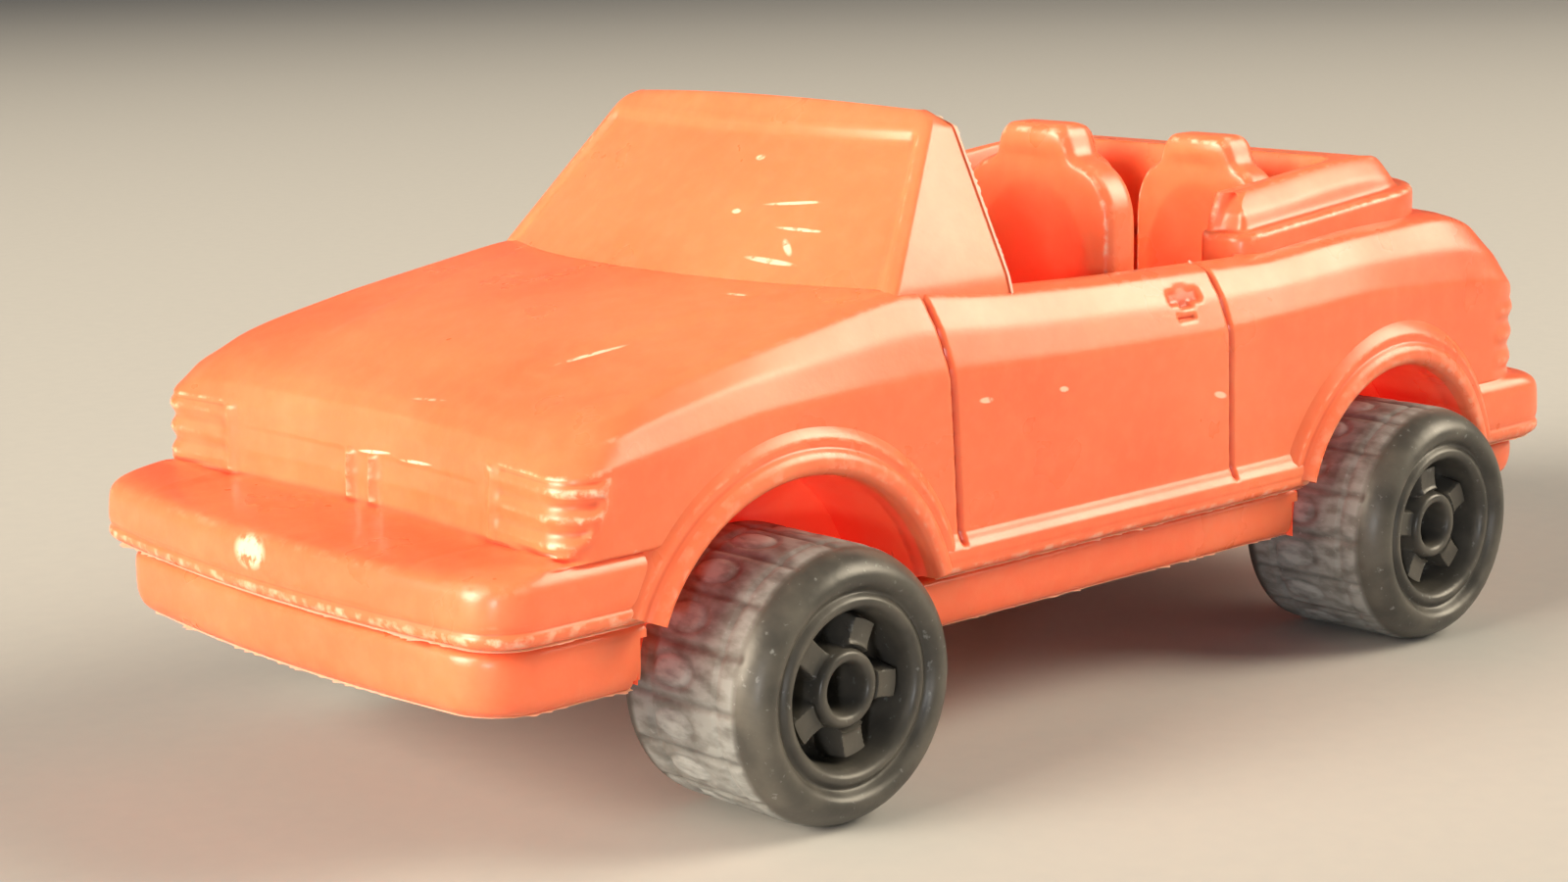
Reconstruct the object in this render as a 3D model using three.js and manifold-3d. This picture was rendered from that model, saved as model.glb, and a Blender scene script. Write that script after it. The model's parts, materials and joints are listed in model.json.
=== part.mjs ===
import * as THREE from 'three';
import { mergeVertices } from 'three/addons/utils/BufferGeometryUtils.js';
import Module from 'manifold-3d';

// Hollow plastic toy convertible. Millimetres, +X to the nose, +Y to the left side, +Z up,
// the ground at z = 0 and the origin half way along the car.

// Fits and walls
const CLEARANCE = 0.3;
const WALL = 1.6;
const OVERCUT = 4;

// Main sizes
const CAR_LENGTH = 115.9;
const WHEELBASE = 64;

// Wheels and axles
const FRONT_AXLE_X = 31.5;
const REAR_AXLE_X = FRONT_AXLE_X - WHEELBASE;
const WHEEL_RADIUS = 9.3;
const WHEEL_WIDTH = 11.9;
const WHEEL_INNER_HALF = 17.3;
const WHEEL_SIDE_GAP = 2;
const SHOULDER_RADIUS = 1.7;
const RIM_RADIUS = 6.3;
const RIM_GROOVE = 0.5;
const RIM_FLANGE = 1.2;
const DISH_DEPTH = 3.6;
const HUB_RADIUS = 2.5;
const HUB_PROUD = 2.6;
const SPOKE_COUNT = 5;
const SPOKE_WIDTH = 1.5;
const SPOKE_PROUD = 2;
const TREAD_COUNT = 16;
const TREAD_GROOVE_WIDTH = 0.7;
const TREAD_GROOVE_DEPTH = 0.4;
const WHEEL_SEGMENTS = 32;
const AXLE_RADIUS = 1.25;
const AXLE_END_RECESS = 3.8;
const AXLE_CHAMFER = 0.3;
const AXLE_SEGMENTS = 16;

// Wheel arches
const FRONT_ARCH_GAP = 3.1;
const FRONT_ARCH_LIFT = 0.9;
const REAR_ARCH_GAP = 2.2;
const REAR_ARCH_LIFT = 0.2;
const FLARE_WIDTH = 3;
const FLARE_PROUD = 0.9;
const FLARE_CREST = 0.6;
const FLARE_ROOT = 2;
const FLARE_TOE = 1;
const HOUSING_WALL = 1;
const ARCH_SEGMENTS = 36;

// Main body
const FRONT_BUMPER_REACH = 8.4;
const REAR_BUMPER_REACH = 3.65;
const BODY_HALF = 23.9;
const FASCIA_CORNER = 2.8;
const TAIL_CORNER = 7;
const SIDE_BOW = 0.5;
const PARTING_Z = 13.4;
const SILL_TUCK = 0.6;
const SIDE_SWELL = 0.4;
const CREASE_Z = 27.7;
const CREASE_DROP = 3.2;
const BELT_TUCK = 2.1;
const BELT_ROUND = 0.7;
const BELT_SWELL = 0.3;
const CROWN = 0.9;
const CROWN_STEPS = [0.85, 0.55, 0.25];
const TAIL_TOP_Z = 25.2;
const TAIL_BROW_Z = 29.3;
const DECK_Z = 32.6;
const BELT_REAR_Z = 31.8;
const BELT_FRONT_Z = 33;
const BONNET_MID_Z = 30.8;
const LIP_Z = 28.1;
const FASCIA_TOP_Z = 25.6;
const LIP_SETBACK = 1.8;
const TAIL_SETBACK = 3.8;
const BROW_ALONG = 0.3;
const BROW_UP = 0.55;
const MID_STATIONS = 14;
const CORNER_STATIONS = 4;
const BOW_STATIONS = 8;
const CURVE_STEPS = 5;
const EDGE_STEPS = 2;

// Bumpers and sill ridge
const BUMPER_BOW = 3;
const BOW_SHARE = 0.75;
const BUMPER_CORNER = 3.6;
const BUMPER_TUCK = 0.3;
const FRONT_BUMPER_Z = 14.7;
const FRONT_BUMPER_HEIGHT = 5;
const REAR_BUMPER_Z = 12.8;
const REAR_BUMPER_HEIGHT = 5.4;
const BUMPER_GROOVE = 0.5;
const BUMPER_GROOVE_RISE = 2.1;
const SILL_RIDGE_PROUD = 0.6;
const SILL_RIDGE_HEIGHT = 2.1;

// Lamps and grille
const HEADLAMP_Z = 19.9;
const TAILLAMP_Z = 19;
const LAMP_FLUTE_HEIGHT = 0.85;
const LAMP_FLUTE_GAP = 0.35;
const LAMP_PROUD = 0.35;
const HEADLAMP_FLUTES = 4;
const TAILLAMP_FLUTES = 5;
const HEADLAMP_INNER_HALF = 15;
const HEADLAMP_WRAP = 2.8;
const TAILLAMP_INNER_HALF = 13;
const TAILLAMP_WRAP = 6.5;
const GRILLE_HALF = 13.8;
const GRILLE_Z = 19.9;
const GRILLE_HEIGHT = 3.6;
const GRILLE_DEPTH = 0.4;
const GRILLE_POST = 1;

// Door shut lines and handles
const SHUT_WIDTH = 0.6;
const SHUT_DEPTH = 0.45;
const DOOR_FRONT_TOP_X = 19.6;
const DOOR_FRONT_FOOT_X = 16.4;
const DOOR_REAR_TOP_X = -11.5;
const DOOR_REAR_FOOT_X = -12.9;
const HANDLE_X = -7.5;
const HANDLE_Z = 30.2;
const HANDLE_LENGTH = 3.4;
const HANDLE_HEIGHT = 1.5;
const HANDLE_PROUD = 0.4;

// Windscreen
const SCREEN_BACK_X = 9.45;
const SCREEN_BACK_TOP_X = 10.6;
const SCREEN_BASE_X = 20.4;
const SCREEN_BASE_Z = 33.1;
const SCREEN_BASE_HALF = 21.7;
const SCREEN_BASE_BOW = 4.4;
const SCREEN_TOP_X = 12;
const SCREEN_TOP_Z = 44.7;
const SCREEN_TOP_HALF = 16.8;
const SCREEN_TOP_BOW = 1.2;
const SCREEN_WALL = 1.5;
const SCREEN_ROUND = 0.8;
const SCREEN_TOP_INSET = 0.5;
const SCREEN_FOOT = 2;
const SCREEN_SILL = 1;
const SCREEN_RIB = 1.6;
const SCREEN_RECESS = 0.45;
const SCREEN_FRONT_STEPS = 10;

// Folded-hood stack
const HOOD_FRONT_X = -17.5;
const HOOD_REAR_X = -44;
const HOOD_OUTER_HALF = 20.9;
const HOOD_TAIL_HALF = 20.2;
const HOOD_CORNER = 6;
const HOOD_INNER_HALF = 15.6;
const HOOD_INNER_REAR_X = -34.5;
const HOOD_LIP_FRONT_Z = 33;
const HOOD_LIP_REAR_Z = 35;
const HOOD_PAD_Z = 37.1;
const HOOD_PAD_INSET = 1.3;
const HOOD_TAIL_SHARE = 2.2;
const HOOD_PAD_BEVEL = 1.1;
const HOOD_ROOT = 3;

// Chassis
const CHASSIS_BOTTOM_Z = 9.3;
const CHASSIS_FLOOR = 1.6;
const CHASSIS_EDGE = 0.9;
const PLUG_HEIGHT = 2.4;
const SKIRT_INSET = 1.1;
const SKIRT_TUCK = 1.5;
const BEARING_WIDTH = 3;
const BEARING_HALF_LENGTH = 3.4;
const BEARING_DROP = 2.6;
const BEARING_MOUTH = 2.2;

// Seat tub and seats
const TUB_TOP_Z = 29.6;
const TUB_WALL = 1.4;
const TUB_FLOOR = 1.5;
const DASH_DEPTH = 7.5;
const DASH_RISE = 1.1;
const FRONT_SEAT = { x: -5.2, y: 10, width: 15.4, top: 42, shoulder: 39.2, cushionLength: 12 };
const REAR_SEAT = { x: -26.2, y: 8.4, width: 12.6, top: 39.4, shoulder: 36.9, cushionLength: 9 };
const SEAT_THICKNESS = 3.6;
const SEAT_EDGE = 0.5;
const SEAT_EDGE_STEPS = 1;
const SEAT_CUSHION_Z = 23;
const HEADREST_TOP_WIDTH = 6.2;
const HEADREST_FOOT_WIDTH = 8.4;
const SCOOP_RADIUS = 7;
const SCOOP_DEPTH = 1.9;
const SCOOP_SEGMENTS = 32;

// Colours and finishes
const RED = 0xe9492c;
const BLACK = 0x1c1c1a;
const STEEL = 0xb9bcc0;
const RED_ROUGHNESS = 0.45;
const BLACK_ROUGHNESS = 0.4;
const STEEL_ROUGHNESS = 0.3;

// Values that follow from the ones above
const AXLE_Z = WHEEL_RADIUS;
const FRONT_BUMPER_X = CAR_LENGTH / 2;
const REAR_BUMPER_X = -CAR_LENGTH / 2;
const FASCIA_X = FRONT_BUMPER_X - FRONT_BUMPER_REACH;
const TAIL_X = REAR_BUMPER_X + REAR_BUMPER_REACH;
const BUMPER_HALF = BODY_HALF - BUMPER_TUCK;
const BORE_RADIUS = AXLE_RADIUS + CLEARANCE;
const WHEEL_OUTER_HALF = WHEEL_INNER_HALF + WHEEL_WIDTH;
const SPINE_HALF = WHEEL_INNER_HALF - WHEEL_SIDE_GAP;
const BELT_HALF = BODY_HALF - BELT_TUCK;
const COCKPIT_HALF = BELT_HALF - WALL;
const COCKPIT_REAR_X = HOOD_INNER_REAR_X;
const FIT = WALL + CLEARANCE;
const CHASSIS_TOP_Z = PARTING_Z + PLUG_HEIGHT;
const TUB_FRONT_X = FRONT_AXLE_X - WHEEL_RADIUS - FRONT_ARCH_GAP - CLEARANCE;
const ARCHES = [
  { x: FRONT_AXLE_X, z: AXLE_Z + FRONT_ARCH_LIFT, radius: WHEEL_RADIUS + FRONT_ARCH_GAP },
  { x: REAR_AXLE_X, z: AXLE_Z + REAR_ARCH_LIFT, radius: WHEEL_RADIUS + REAR_ARCH_GAP },
];
const SIDES = [1, -1];

const wasm = await Module();
wasm.setup();

// Turns a closed geometry into a solid with its faces pointing out.
function solid(geometry) {
  const bare = geometry.index ? geometry.clone() : geometry;
  bare.deleteAttribute('normal');
  bare.deleteAttribute('uv');
  const merged = mergeVertices(bare);
  const vertices = merged.attributes.position.array;
  const corner = (i) => new THREE.Vector3().fromArray(vertices, 3 * i);
  const triangles = [];
  let volume = 0;
  for (let i = 0; i < merged.index.count; i += 3) {
    const [a, b, c] = merged.index.array.slice(i, i + 3);
    if (a !== b && b !== c && c !== a) {
      triangles.push([a, b, c]);
      volume += corner(a).dot(corner(b).cross(corner(c)));
    }
  }
  const facing = volume < 0 ? triangles.map(([a, b, c]) => [a, c, b]) : triangles;
  const mesh = new wasm.Mesh({
    numProp: 3,
    vertProperties: new Float32Array(vertices),
    triVerts: new Uint32Array(facing.flat()),
  });
  return new wasm.Manifold(mesh);
}

// Joins a list of solids into one.
function join(solids) {
  return solids.reduce((sum, next) => sum.add(next));
}

// Cuts every solid of a list out of the first one.
function cut(base, tools) {
  return tools.reduce((rest, tool) => rest.subtract(tool), base);
}

// Closed solid through a row of rings that all have the same number of points.
function loft(rings) {
  const count = rings[0].length;
  const points = rings.flat();
  const index = [];
  for (let i = 0; i + 1 < rings.length; i += 1) {
    for (let j = 0; j < count; j += 1) {
      const a = i * count + j;
      const b = i * count + ((j + 1) % count);
      index.push(a, b, a + count, b, b + count, a + count);
    }
  }
  [rings[0], rings[rings.length - 1]].forEach((ring, end) => {
    const first = end * (rings.length - 1) * count;
    const middle = points.length;
    const sum = ring.reduce((total, point) => total.add(point), new THREE.Vector3());
    points.push(sum.divideScalar(count));
    for (let j = 0; j < count; j += 1) {
      const a = first + j;
      const b = first + ((j + 1) % count);
      index.push(...(end ? [a, b, middle] : [b, a, middle]));
    }
  });
  const geometry = new THREE.BufferGeometry();
  const flat = points.flatMap((point) => [point.x, point.y, point.z]);
  geometry.setAttribute('position', new THREE.Float32BufferAttribute(flat, 3));
  geometry.setIndex(index);
  return solid(geometry);
}

// Straight-sided solid over a plan outline, from one height to another.
function slab(shape, low, high) {
  const geometry = new THREE.ExtrudeGeometry(shape, {
    depth: high - low,
    bevelEnabled: false,
    curveSegments: CURVE_STEPS,
  });
  return solid(geometry.translate(0, 0, low));
}

// The same with its top and bottom edges rounded off, inside the outline.
function softSlab(shape, low, high, edge) {
  const geometry = new THREE.ExtrudeGeometry(shape, {
    depth: high - low - 2 * edge,
    bevelThickness: edge,
    bevelSize: edge,
    bevelOffset: -edge,
    bevelSegments: EDGE_STEPS,
    curveSegments: CURVE_STEPS,
  });
  return solid(geometry.translate(0, 0, low + edge));
}

function box(x0, x1, y0, y1, z0, z1) {
  const geometry = new THREE.BoxGeometry(x1 - x0, y1 - y0, z1 - z0);
  return solid(geometry.translate((x0 + x1) / 2, (y0 + y1) / 2, (z0 + z1) / 2));
}

// Round bar across the car, between two places on the Y axis.
function crossBar(x, z, radius, y0, y1, segments) {
  const geometry = new THREE.CylinderGeometry(radius, radius, y1 - y0, segments);
  return solid(geometry.translate(x, (y0 + y1) / 2, z));
}

// The same bar on both sides of the car, from an inner half width outwards.
function pairOfBars(x, z, radius, inner, segments) {
  const outer = WHEEL_OUTER_HALF + OVERCUT;
  return join(SIDES.map((side) => {
    const [low, high] = [side * inner, side * outer].sort((a, b) => a - b);
    return crossBar(x, z, radius, low, high, segments);
  }));
}

// Height of the belt line, bonnet edge and rear deck edge along the car.
const beltLine = [
  [TAIL_X, TAIL_TOP_Z],
  [TAIL_X + BROW_ALONG * TAIL_SETBACK, THREE.MathUtils.lerp(TAIL_TOP_Z, TAIL_BROW_Z, BROW_UP)],
  [TAIL_X + TAIL_SETBACK, TAIL_BROW_Z],
  [HOOD_REAR_X, DECK_Z],
  [HOOD_FRONT_X, BELT_REAR_Z],
  [SCREEN_BASE_X, BELT_FRONT_Z],
  [(SCREEN_BASE_X + FASCIA_X) / 2, BONNET_MID_Z],
  [FASCIA_X - LIP_SETBACK, LIP_Z],
  [FASCIA_X - BROW_ALONG * LIP_SETBACK, THREE.MathUtils.lerp(FASCIA_TOP_Z, LIP_Z, BROW_UP)],
  [FASCIA_X, FASCIA_TOP_Z],
];

function beltHeight(x) {
  const last = beltLine.length - 2;
  const found = beltLine.findIndex((point, i) => i <= last && x <= beltLine[i + 1][0]);
  const i = found < 0 ? last : found;
  const [[x0, z0], [x1, z1]] = [beltLine[i], beltLine[i + 1]];
  return THREE.MathUtils.lerp(z0, z1, (x - x0) / (x1 - x0));
}

// Half width of the body at one place along the car: straight sides, rounded corners in plan.
function planHalf(x, inset) {
  const corner = (radius, reach) => {
    const into = THREE.MathUtils.clamp(reach, 0, radius);
    return radius - Math.sqrt(radius * radius - into * into);
  };
  const front = FASCIA_CORNER - inset;
  const rear = TAIL_CORNER - inset;
  const fromFront = corner(front, x - (FASCIA_X - FASCIA_CORNER));
  const fromRear = corner(rear, TAIL_X + TAIL_CORNER - x);
  const bow = SIDE_BOW * (x / FASCIA_X) ** 2;
  return BODY_HALF - bow - inset - fromFront - fromRear;
}

// Cross-section of the body, as a closed ring: sill, crease, belt, crowned top.
function bodyRing(x, inset, bottom) {
  const half = planHalf(x, inset);
  const top = beltHeight(x) - inset;
  const crease = Math.min(CREASE_Z, top - CREASE_DROP);
  const edge = half - BELT_TUCK;
  const side = [
    [half - SILL_TUCK, bottom],
    [half - SIDE_SWELL * SILL_TUCK, (PARTING_Z + crease) / 2],
    [half, crease],
    [edge + BELT_SWELL * BELT_ROUND, top - BELT_ROUND],
    [edge - BELT_ROUND, top],
    ...CROWN_STEPS.map((step) => [edge * step, top + CROWN * (1 - step * step)]),
  ];
  const mirrored = side.map(([y, z]) => [-y, z]).reverse();
  return [...side, ...mirrored].map(([y, z]) => new THREE.Vector3(x, y, z));
}

function bodyStations(inset) {
  const front = FASCIA_X - FASCIA_CORNER;
  const rear = TAIL_X + TAIL_CORNER;
  const turn = (i) => (i / CORNER_STATIONS) * (Math.PI / 2);
  const arc = [...Array(CORNER_STATIONS).keys()].map((i) => i + 1);
  const nose = arc.map((i) => front + (FASCIA_CORNER - inset) * Math.sin(turn(i)));
  const tail = arc.map((i) => rear - (TAIL_CORNER - inset) * Math.sin(turn(i))).reverse();
  const step = (front - rear) / MID_STATIONS;
  const middle = [...Array(MID_STATIONS + 1).keys()].map((i) => rear + i * step);
  const corners = beltLine.map(([x]) => x).filter((x) => x > rear && x < front);
  return [...tail, ...middle, ...corners, ...nose].sort((a, b) => a - b);
}

function bodyLoft(inset, bottom) {
  return loft(bodyStations(inset).map((x) => bodyRing(x, inset, bottom)));
}

// One end of a plan outline, from the right side to the left: bowed, with rounded corners.
function bowedEnd(end, way, half, bow, corner) {
  const shoulder = end - way * BOW_SHARE * bow;
  const back = end - way * (bow + corner);
  const hook = new THREE.Vector2(end - way * bow, -half);
  const turn = new THREE.QuadraticBezierCurve(
    new THREE.Vector2(back, -half), hook, new THREE.Vector2(shoulder, corner - half));
  const front = new THREE.QuadraticBezierCurve(
    new THREE.Vector2(shoulder, corner - half),
    new THREE.Vector2(end + way * BOW_SHARE * bow, 0),
    new THREE.Vector2(shoulder, half - corner));
  const right = turn.getPoints(CORNER_STATIONS);
  const left = right.map((point) => new THREE.Vector2(point.x, -point.y)).reverse();
  return [...right, ...front.getPoints(BOW_STATIONS).slice(1, -1), ...left];
}

// Plan outline with one bowed end and one straight end.
function bowedShape(end, straight, half, bow, corner) {
  const way = Math.sign(end - straight);
  return new THREE.Shape([
    new THREE.Vector2(straight, -half),
    ...bowedEnd(end, way, half, bow, corner),
    new THREE.Vector2(straight, half),
  ]);
}

// Bumper bar that wraps round one end of the car, with a groove along its face.
function bumper(end, straight, low, height) {
  const way = Math.sign(end - straight);
  const face = bowedShape(end, straight, BUMPER_HALF, BUMPER_BOW, BUMPER_CORNER);
  const inner = bowedShape(
    end - way * BUMPER_GROOVE, straight, BUMPER_HALF - BUMPER_GROOVE, BUMPER_BOW, BUMPER_CORNER);
  const groove = low + BUMPER_GROOVE_RISE;
  return join([
    softSlab(face, low, groove, BUMPER_GROOVE / 2),
    softSlab(face, groove + BUMPER_GROOVE, low + height, BUMPER_GROOVE),
    slab(inner, low + BUMPER_GROOVE, low + height - BUMPER_GROOVE),
  ]);
}

// Space inside a bumper, open below.
function bumperHollow(end, straight, low, height) {
  const way = Math.sign(end - straight);
  const wall = WALL + BUMPER_GROOVE;
  const inner = bowedShape(end - way * wall, straight, BUMPER_HALF - wall, BUMPER_BOW, BUMPER_CORNER);
  return slab(inner, low - OVERCUT, low + height - WALL);
}

// Horizontal flutes that wrap round the two corners at one end of the body.
function lampFlutes(end, low, count, innerHalf, wrap) {
  const way = Math.sign(end);
  const corner = way > 0 ? FASCIA_CORNER : TAIL_CORNER;
  const start = Math.asin(1 - Math.min(wrap / corner, 1));
  const rim = [...Array(CORNER_STATIONS + 1).keys()].map((i) => {
    const turn = THREE.MathUtils.lerp(Math.PI / 2, start, i / CORNER_STATIONS);
    const x = end - way * corner * (1 - Math.sin(turn));
    const half = planHalf(x, 0) - SIDE_SWELL * SILL_TUCK;
    return [x + way * LAMP_PROUD, half + LAMP_PROUD];
  });
  const [backX, backHalf] = rim[CORNER_STATIONS];
  const plan = [
    [end + way * LAMP_PROUD, innerHalf],
    ...rim,
    [backX, backHalf - FIT],
    [end - way * FIT, innerHalf],
  ];
  const outline = (side) => new THREE.Shape(plan.map(([x, y]) => new THREE.Vector2(x, side * y)));
  const pitch = LAMP_FLUTE_HEIGHT + LAMP_FLUTE_GAP;
  const rows = [...Array(count).keys()].map((row) => low + row * pitch);
  return join(SIDES.flatMap((side) => rows.map((z) => slab(outline(side), z, z + LAMP_FLUTE_HEIGHT))));
}

// Two shallow grille panels with a post between them.
function grilleRecess() {
  return SIDES.map((side) => {
    const [low, high] = [side * GRILLE_POST, side * GRILLE_HALF].sort((a, b) => a - b);
    return box(FASCIA_X - GRILLE_DEPTH, FASCIA_X + OVERCUT, low, high, GRILLE_Z, GRILLE_Z + GRILLE_HEIGHT);
  });
}

// Raised lip round a wheel arch, on both sides of the car.
function archFlares({ x, z, radius }) {
  const rim = BODY_HALF + FLARE_PROUD;
  const root = BODY_HALF - FLARE_ROOT;
  const profile = [
    [radius - CLEARANCE, root],
    [radius + FLARE_WIDTH, root],
    [radius + FLARE_WIDTH, BODY_HALF - FLARE_TOE],
    [radius + FLARE_CREST * FLARE_WIDTH, rim],
    [radius - CLEARANCE, rim],
    [radius - CLEARANCE, root],
  ].map(([r, y]) => new THREE.Vector2(r, y));
  const ring = new THREE.LatheGeometry(profile, ARCH_SEGMENTS);
  const reach = radius + FLARE_WIDTH + OVERCUT;
  const below = box(x - reach, x + reach, -rim - OVERCUT, rim + OVERCUT, z - reach, PARTING_Z);
  return SIDES.map((side) => {
    const whole = ring.clone().rotateX(side > 0 ? 0 : Math.PI).translate(x, 0, z);
    return solid(whole).subtract(below);
  });
}

// Half tubes over the wheels, each with an inner wall, above the chassis.
function wheelHousings() {
  const inner = SPINE_HALF + CLEARANCE;
  const body = bodyLoft(0, PARTING_Z);
  return ARCHES.map(({ x, z, radius }) => {
    const outer = radius + HOUSING_WALL;
    const reach = outer + OVERCUT;
    const below = box(x - reach, x + reach, -BODY_HALF - OVERCUT, BODY_HALF + OVERCUT,
      z - reach, CHASSIS_TOP_Z + CLEARANCE);
    return cut(pairOfBars(x, z, outer, inner, ARCH_SEGMENTS).intersect(body), [below]);
  });
}

// Windscreen wedge: sloping bowed front, triangular sides, upright back.
function screenRing(rise, wall, backX) {
  const height = SCREEN_TOP_Z - SCREEN_BASE_Z;
  const share = rise / height;
  const mix = (base, top) => THREE.MathUtils.lerp(base, top, share);
  const back = backX + mix(0, SCREEN_BACK_TOP_X - SCREEN_BACK_X);
  const corner = mix(SCREEN_BASE_X, SCREEN_TOP_X) - wall;
  const half = mix(SCREEN_BASE_HALF, SCREEN_TOP_HALF) - wall;
  const bow = mix(SCREEN_BASE_BOW, SCREEN_TOP_BOW);
  const z = SCREEN_BASE_Z + rise;
  const front = [...Array(SCREEN_FRONT_STEPS + 1).keys()].map((i) => {
    const across = (2 * i) / SCREEN_FRONT_STEPS - 1;
    return new THREE.Vector3(corner + bow * (1 - across * across), half * across, z);
  });
  return [new THREE.Vector3(back, -half, z), ...front, new THREE.Vector3(back, half, z)];
}

function windscreen() {
  const height = SCREEN_TOP_Z - SCREEN_BASE_Z;
  return loft([
    screenRing(-SCREEN_FOOT, 0, SCREEN_BACK_X),
    screenRing(height - SCREEN_ROUND, 0, SCREEN_BACK_X),
    screenRing(height, SCREEN_TOP_INSET, SCREEN_BACK_X),
  ]);
}

function screenHollow() {
  const height = SCREEN_TOP_Z - SCREEN_BASE_Z;
  const back = SCREEN_BACK_X - OVERCUT;
  return loft([
    screenRing(-SCREEN_FOOT - OVERCUT, SCREEN_WALL, back),
    screenRing(height - SCREEN_WALL, SCREEN_WALL, back),
  ]);
}

// Shallow recess that leaves a rib along the header and both pillars.
function screenRecess() {
  const height = SCREEN_TOP_Z - SCREEN_BASE_Z;
  const frame = new THREE.Shape([
    new THREE.Vector2(-SCREEN_BASE_HALF + SCREEN_RIB, SCREEN_BASE_Z),
    new THREE.Vector2(SCREEN_BASE_HALF - SCREEN_RIB, SCREEN_BASE_Z),
    new THREE.Vector2(SCREEN_TOP_HALF - SCREEN_RIB, SCREEN_TOP_Z - SCREEN_RIB),
    new THREE.Vector2(SCREEN_RIB - SCREEN_TOP_HALF, SCREEN_TOP_Z - SCREEN_RIB),
  ]);
  const reach = SCREEN_BASE_X + SCREEN_BASE_BOW + OVERCUT;
  const window = new THREE.ExtrudeGeometry(frame, { depth: reach, bevelEnabled: false });
  window.rotateX(Math.PI / 2).rotateZ(Math.PI / 2);
  const glass = loft([
    screenRing(-SCREEN_FOOT - OVERCUT, SCREEN_RECESS, -OVERCUT),
    screenRing(height, SCREEN_RECESS, -OVERCUT),
  ]);
  return cut(solid(window), [glass, bodyLoft(0, PARTING_Z)]);
}

// Shut lines of both doors, cut to an even depth below the skin.
function shutLines() {
  const lines = [
    [DOOR_FRONT_TOP_X, DOOR_FRONT_FOOT_X, BELT_FRONT_Z],
    [DOOR_REAR_TOP_X, DOOR_REAR_FOOT_X, BELT_REAR_Z],
  ];
  const foot = PARTING_Z + SILL_RIDGE_HEIGHT;
  const core = bodyLoft(SHUT_DEPTH, PARTING_Z - OVERCUT);
  return lines.map(([topX, footX, top]) => {
    const lean = (topX - footX) / (top - foot);
    const plate = new THREE.BoxGeometry(SHUT_WIDTH, 2 * (BODY_HALF + OVERCUT), top - foot);
    plate.applyMatrix4(new THREE.Matrix4().makeShear(0, 0, 0, 0, lean, 0));
    plate.translate((topX + footX) / 2, 0, (top + foot) / 2);
    return solid(plate).subtract(core);
  });
}

// Small door handle plates, one on each side.
function handles() {
  const lean = BELT_TUCK * (HANDLE_Z - CREASE_Z) / (BELT_REAR_Z - CREASE_Z);
  const face = BODY_HALF - lean + HANDLE_PROUD;
  return SIDES.map((side) => {
    const [low, high] = [side * (face - WALL), side * face].sort((a, b) => a - b);
    return box(HANDLE_X - HANDLE_LENGTH / 2, HANDLE_X + HANDLE_LENGTH / 2, low, high,
      HANDLE_Z - HANDLE_HEIGHT / 2, HANDLE_Z + HANDLE_HEIGHT / 2);
  });
}

// Opening above the seats: wide at the doors, narrow between the arms of the hood stack.
function cockpitShape() {
  const front = SCREEN_BACK_X - SCREEN_SILL;
  const shape = new THREE.Shape();
  shape.moveTo(front, -COCKPIT_HALF);
  shape.lineTo(front, COCKPIT_HALF);
  shape.lineTo(HOOD_FRONT_X, COCKPIT_HALF);
  shape.lineTo(HOOD_FRONT_X, HOOD_INNER_HALF);
  shape.lineTo(COCKPIT_REAR_X + WALL, HOOD_INNER_HALF);
  shape.lineTo(COCKPIT_REAR_X, HOOD_INNER_HALF - WALL);
  shape.lineTo(COCKPIT_REAR_X, -(HOOD_INNER_HALF - WALL));
  shape.lineTo(COCKPIT_REAR_X + WALL, -HOOD_INNER_HALF);
  shape.lineTo(HOOD_FRONT_X, -HOOD_INNER_HALF);
  shape.lineTo(HOOD_FRONT_X, -COCKPIT_HALF);
  shape.closePath();
  return shape;
}

// Plan outline of the folded hood: two arms along the belt, joined behind the seats.
function hoodShape(inset) {
  const front = HOOD_FRONT_X - inset;
  const rear = HOOD_REAR_X + HOOD_TAIL_SHARE * inset;
  const outer = HOOD_OUTER_HALF - inset;
  const tail = HOOD_TAIL_HALF - inset;
  const inner = HOOD_INNER_HALF;
  const round = (outer - inner) / 2;
  const bend = rear + HOOD_CORNER;
  const shape = new THREE.Shape();
  shape.moveTo(front - round, outer);
  shape.lineTo(bend, tail);
  shape.quadraticCurveTo(rear, tail, rear, tail - HOOD_CORNER);
  shape.lineTo(rear, HOOD_CORNER - tail);
  shape.quadraticCurveTo(rear, -tail, bend, -tail);
  shape.lineTo(front - round, -outer);
  shape.quadraticCurveTo(front, -outer, front, -inner - round);
  shape.lineTo(front, -inner);
  shape.lineTo(HOOD_INNER_REAR_X, -inner);
  shape.lineTo(HOOD_INNER_REAR_X, inner);
  shape.lineTo(front, inner);
  shape.lineTo(front, inner + round);
  shape.quadraticCurveTo(front, outer, front - round, outer);
  return shape;
}

// Lip that rises towards the tail, with the thicker pad of folded cloth shown on top of it.
function hoodStack() {
  const slope = (HOOD_LIP_REAR_Z - HOOD_LIP_FRONT_Z) / (HOOD_REAR_X - HOOD_FRONT_X);
  const lip = new THREE.ExtrudeGeometry(hoodShape(0), {
    depth: HOOD_ROOT,
    bevelEnabled: false,
    curveSegments: CURVE_STEPS,
  });
  const rise = HOOD_LIP_FRONT_Z - HOOD_ROOT - slope * HOOD_FRONT_X;
  lip.applyMatrix4(new THREE.Matrix4().makeShear(0, slope, 0, 0, 0, 0)).translate(0, 0, rise);
  const padFoot = HOOD_LIP_FRONT_Z - HOOD_ROOT / 2;
  const pad = softSlab(hoodShape(HOOD_PAD_INSET), padFoot, HOOD_PAD_Z, HOOD_PAD_BEVEL);
  return solid(lip).add(pad);
}

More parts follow.
